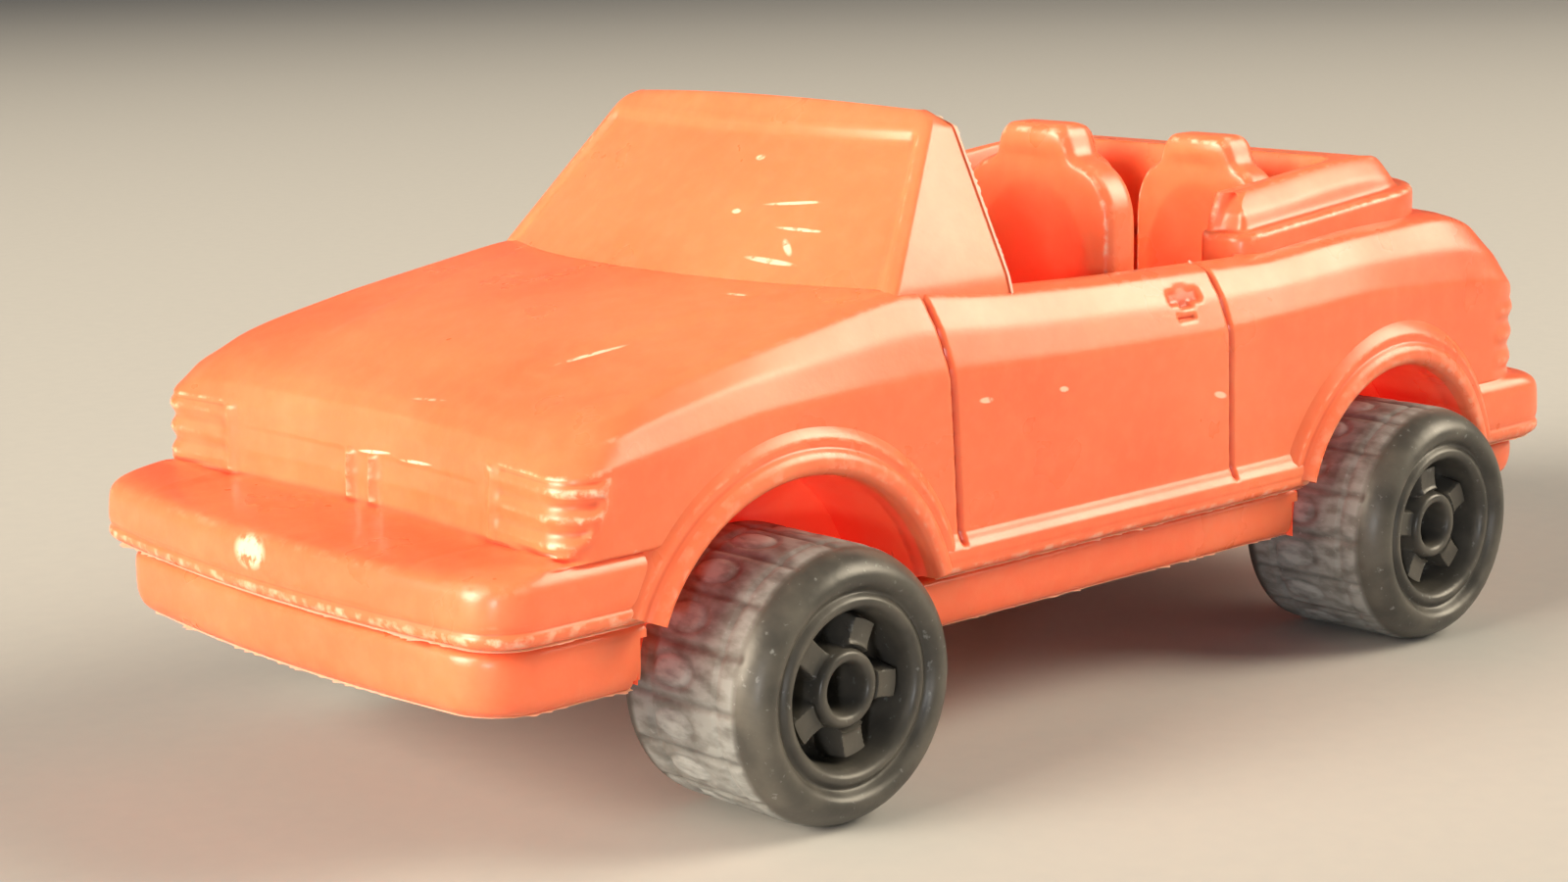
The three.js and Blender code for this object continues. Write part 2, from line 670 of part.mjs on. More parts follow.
function bodyShell() {
  const sillHalf = BODY_HALF - SILL_TUCK + SILL_RIDGE_PROUD;
  const frontEnds = [FRONT_BUMPER_X, FRONT_AXLE_X, FRONT_BUMPER_Z, FRONT_BUMPER_HEIGHT];
  const rearEnds = [REAR_BUMPER_X, REAR_AXLE_X, REAR_BUMPER_Z, REAR_BUMPER_HEIGHT];
  const skin = join([
    bodyLoft(0, PARTING_Z),
    bumper(...frontEnds),
    bumper(...rearEnds),
    box(REAR_AXLE_X, FRONT_AXLE_X, -sillHalf, sillHalf, PARTING_Z, PARTING_Z + SILL_RIDGE_HEIGHT),
    ...ARCHES.flatMap(archFlares),
    windscreen(),
    hoodStack(),
    ...handles(),
  ]);
  const hollow = join([
    bodyLoft(WALL, PARTING_Z - OVERCUT),
    bumperHollow(...frontEnds),
    bumperHollow(...rearEnds),
    screenHollow(),
    slab(cockpitShape(), CREASE_Z, SCREEN_TOP_Z + OVERCUT),
  ]);
  const noseTrim = box(FRONT_AXLE_X, FRONT_BUMPER_X, -BODY_HALF - OVERCUT, BODY_HALF + OVERCUT,
    PARTING_Z - OVERCUT, FRONT_BUMPER_Z);
  const wellInner = SPINE_HALF + CLEARANCE + HOUSING_WALL;
  const wells = ARCHES.map(({ x, z, radius }) => pairOfBars(x, z, radius, wellInner, ARCH_SEGMENTS));
  const walls = join([cut(skin, [hollow, noseTrim]), ...wheelHousings()]);
  const shell = cut(walls, [...wells, ...grilleRecess(), ...shutLines(), screenRecess()]);
  const lamps = [
    lampFlutes(FASCIA_X, HEADLAMP_Z, HEADLAMP_FLUTES, HEADLAMP_INNER_HALF, HEADLAMP_WRAP),
    lampFlutes(TAIL_X, TAILLAMP_Z, TAILLAMP_FLUTES, TAILLAMP_INNER_HALF, TAILLAMP_WRAP),
  ];
  return join([shell, ...lamps]);
}

// Plan outline of the chassis, inside the bumpers by one inset and inside the sides by another.
function trayShape(endInset, sideInset) {
  const half = BODY_HALF - sideInset;
  return new THREE.Shape([
    ...bowedEnd(FRONT_BUMPER_X - endInset, 1, half, BUMPER_BOW, BUMPER_CORNER),
    ...bowedEnd(REAR_BUMPER_X + endInset, -1, half, BUMPER_BOW, BUMPER_CORNER).reverse(),
  ]);
}

// Skirt under the body: up to the front bumper, the sills and the rear bumper.
function skirt() {
  const whole = softSlab(
    trayShape(SKIRT_INSET, SKIRT_TUCK), CHASSIS_BOTTOM_Z, FRONT_BUMPER_Z - CLEARANCE, CHASSIS_EDGE);
  const above = (low, high, z) => box(
    low, high, -BODY_HALF - OVERCUT, BODY_HALF + OVERCUT, z - CLEARANCE, FRONT_BUMPER_Z + OVERCUT);
  return cut(whole, [
    above(REAR_AXLE_X, FRONT_AXLE_X, PARTING_Z),
    above(REAR_BUMPER_X, REAR_AXLE_X, REAR_BUMPER_Z),
  ]);
}

// Tray that plugs into the body from below and carries the axles.
function chassis() {
  const endInset = BUMPER_GROOVE + FIT;
  const sideInset = SIDE_BOW + SILL_TUCK + FIT;
  const plug = softSlab(trayShape(endInset, sideInset), CHASSIS_BOTTOM_Z, CHASSIS_TOP_Z, CHASSIS_EDGE);
  const outside = join([plug, skirt()]);
  const inside = slab(trayShape(endInset + WALL, sideInset + WALL),
    CHASSIS_BOTTOM_Z + CHASSIS_FLOOR, CHASSIS_TOP_Z + OVERCUT);
  const wells = ARCHES.map(({ x, z, radius }) => pairOfBars(x, z, radius, SPINE_HALF, ARCH_SEGMENTS));
  const liners = ARCHES.map(({ x, z, radius }) => {
    return pairOfBars(x, z, radius + WALL, SPINE_HALF - WALL, ARCH_SEGMENTS);
  });
  const pocket = cut(inside, liners);
  const bearings = ARCHES.flatMap(({ x }) => SIDES.map((side) => {
    const [low, high] = [side * SPINE_HALF, side * (SPINE_HALF - BEARING_WIDTH)].sort((a, b) => a - b);
    return box(x - BEARING_HALF_LENGTH, x + BEARING_HALF_LENGTH, low, high,
      AXLE_Z - BEARING_DROP, CHASSIS_BOTTOM_Z + CHASSIS_FLOOR);
  }));
  const seats = ARCHES.flatMap(({ x }) => [
    crossBar(x, AXLE_Z, BORE_RADIUS, -SPINE_HALF - OVERCUT, SPINE_HALF + OVERCUT, AXLE_SEGMENTS),
    box(x - BEARING_MOUTH / 2, x + BEARING_MOUTH / 2, -SPINE_HALF - OVERCUT, SPINE_HALF + OVERCUT,
      AXLE_Z - BEARING_DROP - OVERCUT, AXLE_Z),
  ]);
  const trayBody = cut(outside, [pocket, ...wells]);
  return cut(join([trayBody, ...bearings]), seats);
}

// Seat back with a narrower headrest, hollowed in front, and the cushion before it.
function seat({ x, y, width, top, shoulder, cushionLength }, floor) {
  const half = width / 2;
  const corner = half / 2;
  const rest = HEADREST_FOOT_WIDTH / 2;
  const tip = HEADREST_TOP_WIDTH / 2;
  const shape = new THREE.Shape();
  shape.moveTo(-half, floor);
  shape.lineTo(half, floor);
  shape.lineTo(half, shoulder - corner);
  shape.quadraticCurveTo(half, shoulder, rest, shoulder);
  shape.lineTo(tip, top);
  shape.lineTo(-tip, top);
  shape.lineTo(-rest, shoulder);
  shape.quadraticCurveTo(-half, shoulder, -half, shoulder - corner);
  shape.closePath();
  const upright = new THREE.ExtrudeGeometry(shape, {
    depth: SEAT_THICKNESS - 2 * SEAT_EDGE,
    bevelThickness: SEAT_EDGE,
    bevelSize: SEAT_EDGE,
    bevelOffset: -SEAT_EDGE,
    bevelSegments: SEAT_EDGE_STEPS,
    curveSegments: CURVE_STEPS,
  });
  upright.rotateX(Math.PI / 2).rotateZ(Math.PI / 2);
  upright.translate(x - SEAT_THICKNESS + SEAT_EDGE, y, 0);
  const sphere = (SCOOP_RADIUS ** 2 + SCOOP_DEPTH ** 2) / (2 * SCOOP_DEPTH);
  const scoop = new THREE.SphereGeometry(sphere, SCOOP_SEGMENTS, SCOOP_SEGMENTS);
  scoop.translate(x + sphere - SCOOP_DEPTH, y, (SEAT_CUSHION_Z + shoulder) / 2);
  const cushion = box(x - SEAT_THICKNESS / 2, x + cushionLength, y - half, y + half, floor, SEAT_CUSHION_Z);
  return solid(upright).subtract(solid(scoop)).add(cushion);
}

// Cockpit moulding: floor, low walls, dashboard and four seats.
function seatTub() {
  const wide = COCKPIT_HALF - CLEARANCE;
  const narrow = Math.min(HOOD_INNER_HALF - CLEARANCE, SPINE_HALF - CLEARANCE);
  const step = REAR_AXLE_X + WHEEL_RADIUS + REAR_ARCH_GAP + FIT;
  const rear = COCKPIT_REAR_X + CLEARANCE;
  const outline = (wall) => new THREE.Shape([
    new THREE.Vector2(TUB_FRONT_X - wall, wide - wall),
    new THREE.Vector2(step + wall, wide - wall),
    new THREE.Vector2(step + wall, narrow - wall),
    new THREE.Vector2(rear + wall, narrow - wall),
    new THREE.Vector2(rear + wall, -(narrow - wall)),
    new THREE.Vector2(step + wall, -(narrow - wall)),
    new THREE.Vector2(step + wall, -(wide - wall)),
    new THREE.Vector2(TUB_FRONT_X - wall, -(wide - wall)),
  ]);
  const bottom = CHASSIS_TOP_Z + CLEARANCE;
  const floor = bottom + TUB_FLOOR;
  const block = slab(outline(0), bottom, TUB_TOP_Z);
  const pan = block.subtract(slab(outline(TUB_WALL), floor, TUB_TOP_Z + OVERCUT));
  const seats = [FRONT_SEAT, REAR_SEAT].flatMap((row) => SIDES.map((side) => {
    return seat({ ...row, y: side * row.y }, bottom + TUB_FLOOR / 2);
  }));
  const back = TUB_FRONT_X - DASH_DEPTH;
  const dashTop = TUB_TOP_Z + DASH_RISE;
  const dash = box(back, TUB_FRONT_X, TUB_WALL - wide, wide - TUB_WALL, floor, dashTop);
  const dashHalf = wide - 2 * TUB_WALL;
  const dashHollow = box(
    back + TUB_WALL, TUB_FRONT_X - TUB_WALL, -dashHalf, dashHalf, bottom - OVERCUT, dashTop - TUB_WALL);
  const cushionHollows = [FRONT_SEAT, REAR_SEAT].flatMap((row) => SIDES.map((side) => {
    const half = row.width / 2 - TUB_WALL;
    return box(row.x, row.x + row.cushionLength - TUB_WALL, side * row.y - half, side * row.y + half,
      bottom - OVERCUT, SEAT_CUSHION_Z - TUB_WALL);
  }));
  return cut(join([pan, dash, ...seats]), [dashHollow, ...cushionHollows]);
}

// One-piece wheel, standing on its inner face at y = 0 with its axle along Y.
function wheelSolid() {
  const face = WHEEL_WIDTH;
  const side = WHEEL_RADIUS - SHOULDER_RADIUS;
  const dish = RIM_RADIUS - RIM_FLANGE;
  const floor = face - DISH_DEPTH;
  const hub = floor + HUB_PROUD;
  const profile = [
    [BORE_RADIUS, 0],
    [WHEEL_RADIUS - RIM_GROOVE, 0],
    [WHEEL_RADIUS, RIM_GROOVE],
    [WHEEL_RADIUS, face - SHOULDER_RADIUS],
    [side + SHOULDER_RADIUS * Math.SQRT1_2, face - SHOULDER_RADIUS * (1 - Math.SQRT1_2)],
    [side, face],
    [RIM_RADIUS + RIM_GROOVE, face - RIM_GROOVE / 2],
    [RIM_RADIUS, face - 2 * RIM_GROOVE],
    [RIM_RADIUS - RIM_GROOVE, face - RIM_GROOVE / 2],
    [dish, face - RIM_GROOVE],
    [dish, floor],
    [HUB_RADIUS, floor],
    [HUB_RADIUS, hub],
    [BORE_RADIUS, hub],
    [BORE_RADIUS, 0],
  ].map(([r, y]) => new THREE.Vector2(r, y));
  const turned = solid(new THREE.LatheGeometry(profile, WHEEL_SEGMENTS));
  const around = (count, make) => [...Array(count).keys()].map((i) => {
    return solid(make().rotateY((i / count) * 2 * Math.PI));
  });
  const reach = dish - HUB_RADIUS + 2 * CLEARANCE;
  const spokes = around(SPOKE_COUNT, () => {
    const rib = new THREE.BoxGeometry(reach, SPOKE_PROUD + CLEARANCE, SPOKE_WIDTH);
    return rib.translate((dish + HUB_RADIUS) / 2, floor + (SPOKE_PROUD - CLEARANCE) / 2, 0);
  });
  const treadLength = face - 2 * SHOULDER_RADIUS;
  const grooves = around(TREAD_COUNT, () => {
    const groove = new THREE.BoxGeometry(2 * TREAD_GROOVE_DEPTH, treadLength, TREAD_GROOVE_WIDTH);
    return groove.translate(WHEEL_RADIUS, face / 2, 0);
  });
  return cut(join([turned, ...spokes]), grooves);
}

function axleSolid() {
  const end = WHEEL_OUTER_HALF - AXLE_END_RECESS - DISH_DEPTH + HUB_PROUD;
  const profile = [
    [0, -end],
    [AXLE_RADIUS - AXLE_CHAMFER, -end],
    [AXLE_RADIUS, AXLE_CHAMFER - end],
    [AXLE_RADIUS, end - AXLE_CHAMFER],
    [AXLE_RADIUS - AXLE_CHAMFER, end],
    [0, end],
  ].map(([r, y]) => new THREE.Vector2(r, y));
  return solid(new THREE.LatheGeometry(profile, AXLE_SEGMENTS));
}

function toMesh(name, shape, look) {
  const { vertProperties, triVerts } = shape.getMesh();
  const geometry = new THREE.BufferGeometry();
  geometry.setAttribute('position', new THREE.BufferAttribute(vertProperties, 3));
  geometry.setIndex(new THREE.BufferAttribute(triVerts, 1));
  geometry.computeVertexNormals();
  const mesh = new THREE.Mesh(geometry, new THREE.MeshStandardMaterial(look));
  mesh.name = name;
  return mesh;
}

const redPlastic = { color: RED, roughness: RED_ROUGHNESS, metalness: 0 };
const blackPlastic = { color: BLACK, roughness: BLACK_ROUGHNESS, metalness: 0 };
const steelPin = { color: STEEL, roughness: STEEL_ROUGHNESS, metalness: 1 };

const car = new THREE.Group();
car.add(toMesh('body_shell', bodyShell(), redPlastic));
car.add(toMesh('chassis', chassis(), redPlastic));
car.add(toMesh('seat_tub', seatTub(), redPlastic));

const wheelShape = wheelSolid();
const axleShape = axleSolid();
[['front', FRONT_AXLE_X], ['rear', REAR_AXLE_X]].forEach(([end, x]) => {
  const set = new THREE.Group();
  set.position.set(x, 0, AXLE_Z);
  set.add(toMesh(`${end}_axle`, axleShape, steelPin));
  [['left', 0], ['right', Math.PI]].forEach(([name, turn]) => {
    const side = new THREE.Group();
    side.rotation.z = turn;
    const wheel = toMesh(`wheel_${end}_${name}`, wheelShape, blackPlastic);
    wheel.position.y = WHEEL_INNER_HALF;
    side.add(wheel);
    set.add(side);
  });
  car.add(set);
});

export default car;
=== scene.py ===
import json
import math

import bpy
import numpy as np
from bpy.props import FloatProperty, FloatVectorProperty, PointerProperty
from mathutils import Matrix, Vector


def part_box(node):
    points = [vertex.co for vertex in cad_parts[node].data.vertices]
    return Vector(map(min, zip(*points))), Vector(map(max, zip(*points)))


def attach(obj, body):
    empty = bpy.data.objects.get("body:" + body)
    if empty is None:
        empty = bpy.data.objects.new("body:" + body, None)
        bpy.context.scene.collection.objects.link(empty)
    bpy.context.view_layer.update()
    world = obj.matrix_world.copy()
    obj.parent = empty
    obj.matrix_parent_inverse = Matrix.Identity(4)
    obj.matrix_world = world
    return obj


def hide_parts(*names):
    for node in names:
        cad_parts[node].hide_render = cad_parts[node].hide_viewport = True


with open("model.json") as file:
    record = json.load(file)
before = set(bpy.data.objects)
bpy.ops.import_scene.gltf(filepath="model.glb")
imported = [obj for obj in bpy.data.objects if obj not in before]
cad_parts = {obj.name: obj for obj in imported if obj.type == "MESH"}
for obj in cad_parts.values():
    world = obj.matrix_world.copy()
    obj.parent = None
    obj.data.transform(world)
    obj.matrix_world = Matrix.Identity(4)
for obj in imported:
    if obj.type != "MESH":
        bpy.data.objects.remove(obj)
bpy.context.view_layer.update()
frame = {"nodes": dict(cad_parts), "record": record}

bl_info = {
    "name": "Toy convertible",
    "version": (1, 0, 0),
    "blender": (4, 5, 0),
    "location": "3D View > Sidebar > Toy convertible",
    "description": "Builds the visual pieces of a moulded plastic toy convertible",
    "category": "Object",
}

MM = 0.001
ENDS = ("front", "rear")
HANDS = (("left", 1.0), ("right", -1.0))
QUARTER = 0.5 * math.pi
SHARP_ANGLE = math.radians(50)
LEAST_GAP = 0.15
TORN_BEND, CUT_BEND = 6.0, 1.3


def node_box(node):
    """Lowest and highest corner of a solid at rest, in millimetres."""
    return [np.array(corner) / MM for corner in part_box(node)]


# Places read from the solids, in millimetres: +X to the nose, +Y to the left, +Z up.
BODY_LOW, BODY_HIGH = node_box("body_shell")
NOSE_X, TAIL_X = BODY_HIGH[0], BODY_LOW[0]
WHEEL_BOX = {end: node_box(f"wheel_{end}_left") for end in ENDS}
AXLE_X = {end: 0.5 * (low[0] + high[0]) for end, (low, high) in WHEEL_BOX.items()}
AXLE_Z = 0.5 * (WHEEL_BOX["front"][0][2] + WHEEL_BOX["front"][1][2])
WHEEL_INNER = WHEEL_BOX["front"][0][1]
TRAY_Z = frame["record"]["mounts"][0]["pos_m"][2] / MM

# Wheel arches
ARCH_RADIUS = {"front": 12.4, "rear": 11.2}
ARCH_X = {"front": AXLE_X["front"], "rear": AXLE_X["rear"] - 0.4}
ARCH_Z = {"front": AXLE_Z + 0.9, "rear": AXLE_Z + 1.0}
ARCH_CUT = 0.7
ARCH_FOOT = {"front": (14.85, 13.75), "rear": (13.75, 13.25)}
WELL_HALF = 15.5
WELL_OUTER = 23.4
SKIRT_HALF, END_SKIRT_HALF = 22.4, 21.9

# Lengthways stations
SIDE_START, SIDE_END = 42.0, -45.0
FRONT_BLEND = (24.0, 39.0)
REAR_BLEND = (-25.0, -40.0)
COCKPIT_HALF = 20.2
HOOD_FRONT, HOOD_REAR = -17.5, -44.0


def ramp(low, high, x):
    """Smooth step: t*t*(3 - 2*t) with t = (x - low) / (high - low), kept between 0 and 1."""
    t = np.clip((x - low) / (high - low), 0.0, 1.0)
    return t * t * (3.0 - 2.0 * t)


def bump(x, width):
    """Rounded ridge: exp(-(x / width)**2)."""
    return np.exp(-(x / width) ** 2)


def wave(x, pitch):
    """Rounded ribs between 0 and 1: (1 - cos(2*pi*x / pitch)) / 2."""
    return 0.5 - 0.5 * np.cos(2 * math.pi * x / pitch)


def soften(values, passes, axis, wrap=False):
    """Repeated (1, 2, 1) / 4 average along one axis, with the two ends held unless it wraps."""
    out = np.array(values, dtype=float)
    for _ in range(passes):
        new = 0.25 * np.roll(out, 1, axis) + 0.5 * out + 0.25 * np.roll(out, -1, axis)
        if not wrap:
            ends = [slice(None)] * out.ndim
            for end in (0, -1):
                ends[axis] = end
                new[tuple(ends)] = out[tuple(ends)]
        out = new
    return out


def through(keys, counts):
    """Rows between key rows: keys[k] + (keys[k+1] - keys[k]) * i / counts[k]."""
    keys = np.asarray(keys, dtype=float)
    place = np.concatenate(
        [k + np.arange(n) / n for k, n in enumerate(counts)] + [[float(len(counts))]])
    low = np.minimum(place.astype(int), len(counts) - 1)
    share = (place - low).reshape((-1,) + (1,) * (keys.ndim - 1))
    return keys[low] * (1 - share) + keys[low + 1] * share


def resample(points, count):
    """A polyline's columns at evenly spaced places along its x and y, ends included."""
    step = np.linalg.norm(np.diff(points[:, :2], axis=0), axis=-1)
    place = np.concatenate([[0.0], np.cumsum(step)])
    even = np.linspace(0, place[-1], count)
    return np.stack([np.interp(even, place, column) for column in points.T], axis=-1)


def arc(middle, radius, start, end, count=16):
    """Points on a circle, with its start and end in quarter turns."""
    turn = np.linspace(start, end, count) * QUARTER
    return np.asarray(middle) + radius * np.stack([np.cos(turn), np.sin(turn)], axis=-1)


SPREAD_FINE, SPREAD_SOFT = 4000, 40


def spread(start, end, step, zones=()):
    """Places from start to end, step apart, and closer in each (low, high, step) zone."""
    fine = np.linspace(start, end, SPREAD_FINE)
    density = np.full(fine.shape, 1.0 / step)
    for low, high, close in zones:
        inside = (fine > low) & (fine < high)
        density = np.where(inside, np.maximum(density, 1.0 / close), density)
    density = soften(density, SPREAD_SOFT, 0)
    total = np.concatenate([[0.0], np.cumsum(0.5 * (density[1:] + density[:-1]))])
    total *= abs(end - start) / (len(fine) - 1)
    count = int(round(total[-1]))
    return np.interp(np.linspace(0, total[-1], count + 1), total, fine)


def grid_normals(grid, wrap, core):
    """Unit normals of a grid P(i, j), the cross product of its central differences, away from core."""
    def along(axis):
        if wrap[axis]:
            return np.roll(grid, -1, axis) - np.roll(grid, 1, axis)
        return np.gradient(grid, axis=axis)
    normals = np.cross(along(1), along(0))
    normals /= np.maximum(np.linalg.norm(normals, axis=-1, keepdims=True), 1e-9)
    return normals * np.sign((normals * (grid - np.asarray(core))).sum(axis=-1, keepdims=True))


def quad_middles(grid):
    """Middle of each face of an open grid."""
    return 0.25 * (grid[:-1, :-1] + grid[1:, :-1] + grid[:-1, 1:] + grid[1:, 1:])


class Patch:
    """One grid of points P(i, j) in millimetres, with what is known about each point.

    facing gives the rough outward direction of the faces, inside a point that they look away from;
    keep drops faces where it is False for their middle.
    """

    def __init__(self, grid, wrap=(False, False), inside=None, keep=None, facing=None, **marks):
        self.grid = np.asarray(grid, dtype=float)
        self.wrap = wrap
        self.marks = marks
        rows, cols = self.grid.shape[:2]
        i = np.arange(rows if wrap[0] else rows - 1)[:, None]
        j = np.arange(cols if wrap[1] else cols - 1)[None, :]
        after_i, after_j = (i + 1) % rows, (j + 1) % cols
        corners = [i * cols + j, after_i * cols + j, after_i * cols + after_j, i * cols + after_j]
        quads = np.stack(np.broadcast_arrays(*corners), axis=-1)
        points = self.grid.reshape(-1, 3)
        middle = points[quads].mean(axis=2)
        if facing is None:
            facing = middle - np.asarray(points.mean(axis=0) if inside is None else inside)
        a, b, c, d = (points[quads[..., k]] for k in range(4))
        looks = np.einsum("ijk,ijk->", np.cross(c - a, d - b), np.broadcast_to(facing, middle.shape))
        if looks < 0:
            quads = quads[..., ::-1]
        if keep is not None:
            quads = quads[keep(middle)]
        self.quads = quads.reshape(-1, 4)

    def mark_edges(self, normals):
        """Marks the bend at each point in 1/mm, above 0 on outer edges and below 0 in grooves.

        Along each direction it is 2 * stand / gap**2, with stand the height over the middle of the two
        neighbours and gap half the distance between them.
        """
        bend = np.zeros(self.grid.shape[:2])
        for axis in (0, 1):
            pad = [(0, 0)] * 3
            pad[axis] = (1, 1)
            wide = np.pad(self.grid, pad, mode="wrap" if self.wrap[axis] else "edge")
            before, after = np.split(np.take(wide, [*range(self.grid.shape[axis]),
                                                    *range(2, self.grid.shape[axis] + 2)], axis), 2, axis)
            stand = ((self.grid - 0.5 * (before + after)) * normals).sum(axis=-1)
            gap = 0.5 * np.linalg.norm(after - before, axis=-1)
            bend += 2 * stand / np.maximum(gap, LEAST_GAP) ** 2
        for axis in (0, 1):
            bend = soften(bend, 1, axis, self.wrap[axis])
        self.marks["bend"] = bend
        return self


def make_mesh(name, patches):
    """One mesh of several grids, in metres, with smooth faces and its marks as attributes."""
    points = np.concatenate([p.grid.reshape(-1, 3) for p in patches]) * MM
    starts = np.cumsum([0] + [p.grid.shape[0] * p.grid.shape[1] for p in patches[:-1]])
    quads = np.concatenate([p.quads + start for p, start in zip(patches, starts)])
    mesh = bpy.data.meshes.new(name)
    mesh.vertices.add(len(points))
    mesh.vertices.foreach_set("co", points.astype(np.float32).ravel())
    mesh.loops.add(quads.size)
    mesh.loops.foreach_set("vertex_index", quads.astype(np.int32).ravel())
    mesh.polygons.add(len(quads))
    mesh.polygons.foreach_set("loop_start", np.arange(0, quads.size, 4, dtype=np.int32))
    mesh.update(calc_edges=True)
    mesh.polygons.foreach_set("use_smooth", np.ones(len(quads), dtype=bool))
    for mark in sorted({m for p in patches for m in p.marks}):
        layer = mesh.attributes.new(mark, "FLOAT", "POINT")
        values = [np.broadcast_to(p.marks.get(mark, 0.0), p.grid.shape[:2]).ravel() for p in patches]
        layer.data.foreach_set("value", np.concatenate(values).astype(np.float32))
    mesh.validate()
    mesh.set_sharp_from_angle(angle=SHARP_ANGLE)
    return mesh


def add_piece(name, patches, material, body, node):
    """A visual piece at the origin that rides on a body and stands for one node."""
    piece = bpy.data.objects.new(name, make_mesh(name, patches))
    bpy.context.scene.collection.objects.link(piece)
    piece.data.materials.append(material)
    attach(piece, body)
    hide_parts(node)
    return piece


# Body skin. Heights along the car, as x and z pairs.
BELT_LINE = ((-54.3, 25.4), (-53.2, 27.6), (-50.4, 29.6), (-46.5, 31.4), (-43.0, 32.5), (-30.0, 32.2),
             (-18.7, 31.4), (0.0, 31.75), (11.0, 32.2), (20.4, 33.15), (35.0, 30.9), (42.0, 29.5),
             (46.8, 28.2), (48.6, 27.6), (50.2, 26.6), (50.8, 25.6))
CREASE_LINE = ((-54.3, 25.0), (-48.0, 26.6), (-29.0, 27.6), (-11.0, 26.8), (5.0, 27.1), (19.0, 27.6),
               (35.0, 27.2), (44.0, 25.9), (50.8, 25.0))

# Levels from the foot of the bumpers to the foot of the nose and tail: heights at the nose, side and
# tail, setbacks of the nose and tail, half widths at the nose, side and tail, rows to the next level.
FOOT_LEVELS = np.array((
    (15.40, 13.60, 13.05, 2.65, 2.45, 21.60, 21.6, 21.60, 2),
    (15.22, 13.42, 12.88, 0.75, 0.60, 23.00, 23.4, 23.00, 3),
    (15.65, 13.80, 13.30, 0.08, 0.05, 23.55, 24.0, 23.55, 3),
    (16.25, 14.20, 14.00, 0.03, 0.02, 23.65, 24.1, 23.65, 3),
    (16.50, 14.42, 14.30, 0.26, 0.22, 23.40, 24.0, 23.40, 3),
    (16.80, 14.65, 14.65, 0.06, 0.05, 23.60, 24.1, 23.60, 5),
    (18.90, 15.35, 17.30, 0.25, 0.25, 23.60, 24.0, 23.60, 4),
    (19.55, 15.70, 17.95, 0.75, 0.85, 23.30, 23.7, 23.30, 3),
    (19.80, 16.00, 18.25, 1.75, 1.75, 23.00, 23.6, 23.00, 6),
    (19.95, 16.40, 18.40, 8.75, 3.55, 23.70, 23.4, 23.10, 36),
))
BUMPER_BOWS, BUMPER_CORNER = (1.9, 3.0), 3.6
FLASH_LEVEL = 1

# Levels from the soft crease to the start of the top: setbacks of the nose and tail, half widths at the
# nose, side and tail, corner radii and bows of the nose and tail, share from the crease line to the
# belt line, lift above it, rows to the next level.
UPPER_LEVELS = np.array((
    (8.95, 3.65, 23.9, 23.90, 23.3, 2.8, 6.8, -1.6, 0.9, 0.0, 0.00, 12),
    (9.20, 4.65, 23.1, 23.05, 22.5, 3.4, 7.2, -0.6, 1.0, 0.5, 0.22, 12),
    (10.20, 7.35, 21.9, 21.90, 21.2, 4.2, 7.6, 0.15, 1.1, 1.0, -0.25, 5),
    (11.90, 8.75, 20.8, 21.00, 20.0, 4.6, 7.4, 0.20, 1.1, 1.0, 0.12, 0),
))
TOP_ROWS = 38
TOP_CROWN = 0.65
TOP_LIFT = UPPER_LEVELS[-1, 10]
BONNET_PANEL = 0.28

FRONT_COLUMNS = spread(0, 1, 1 / 48)
CORNER_COLUMNS = spread(0, 1, 1 / 30)
REAR_COLUMNS = spread(0, 1, 1 / 34)
FINE_STEP, PLAIN_STEP = 0.17, 0.65
LINE_FINE, LINE_SOFT = 600, 120
CORNER_MOST = 0.98
SIDE_COLUMNS = spread(SIDE_START, SIDE_END, PLAIN_STEP, (
    (15.2, 20.8, FINE_STEP), (-14.2, -10.6, FINE_STEP), (-10.3, -5.3, FINE_STEP)))


def line_height(line, x):
    """Height on a line of x and z pairs, with its corners rounded over about 3 mm."""
    xs, zs = np.array(line).T
    fine = np.linspace(xs[0], xs[-1], LINE_FINE)
    return np.interp(x, fine, soften(np.interp(fine, xs, zs), LINE_SOFT, 0))


def blend_ends(front, middle, rear, x):
    """Front value ahead of the front wheel, rear value behind the rear one, middle between."""
    return middle + ramp(*FRONT_BLEND, x) * (front - middle) + ramp(*REAR_BLEND, x) * (rear - middle)


def end_curve(end, way, half, corner, bow, side):
    """Half a bowed end in plan: a parabola of that bow, an arc of that radius, a straight run to side."""
    inner = half - corner
    y = (FRONT_COLUMNS if way > 0 else REAR_COLUMNS)[None, :] * inner
    flat = np.stack([end - way * bow * (y / half) ** 2, y], axis=-1)
    start = flat[:, -1:, 0]
    depth = np.minimum(corner, CORNER_MOST * way * (start - side))
    length = QUARTER * 0.5 * (depth + corner)
    run = way * (start - side) - depth
    along = CORNER_COLUMNS[None, 1:] * (length + run)
    turn = np.clip(along / length, 0, 1) * QUARTER
    straight = np.clip(along - length, 0, None)
    round_x = start - way * (depth * (1 - np.cos(turn)) + straight)
    round_y = inner + corner * np.sin(turn)
    return np.concatenate([flat, np.stack([round_x, round_y], axis=-1)], axis=1)


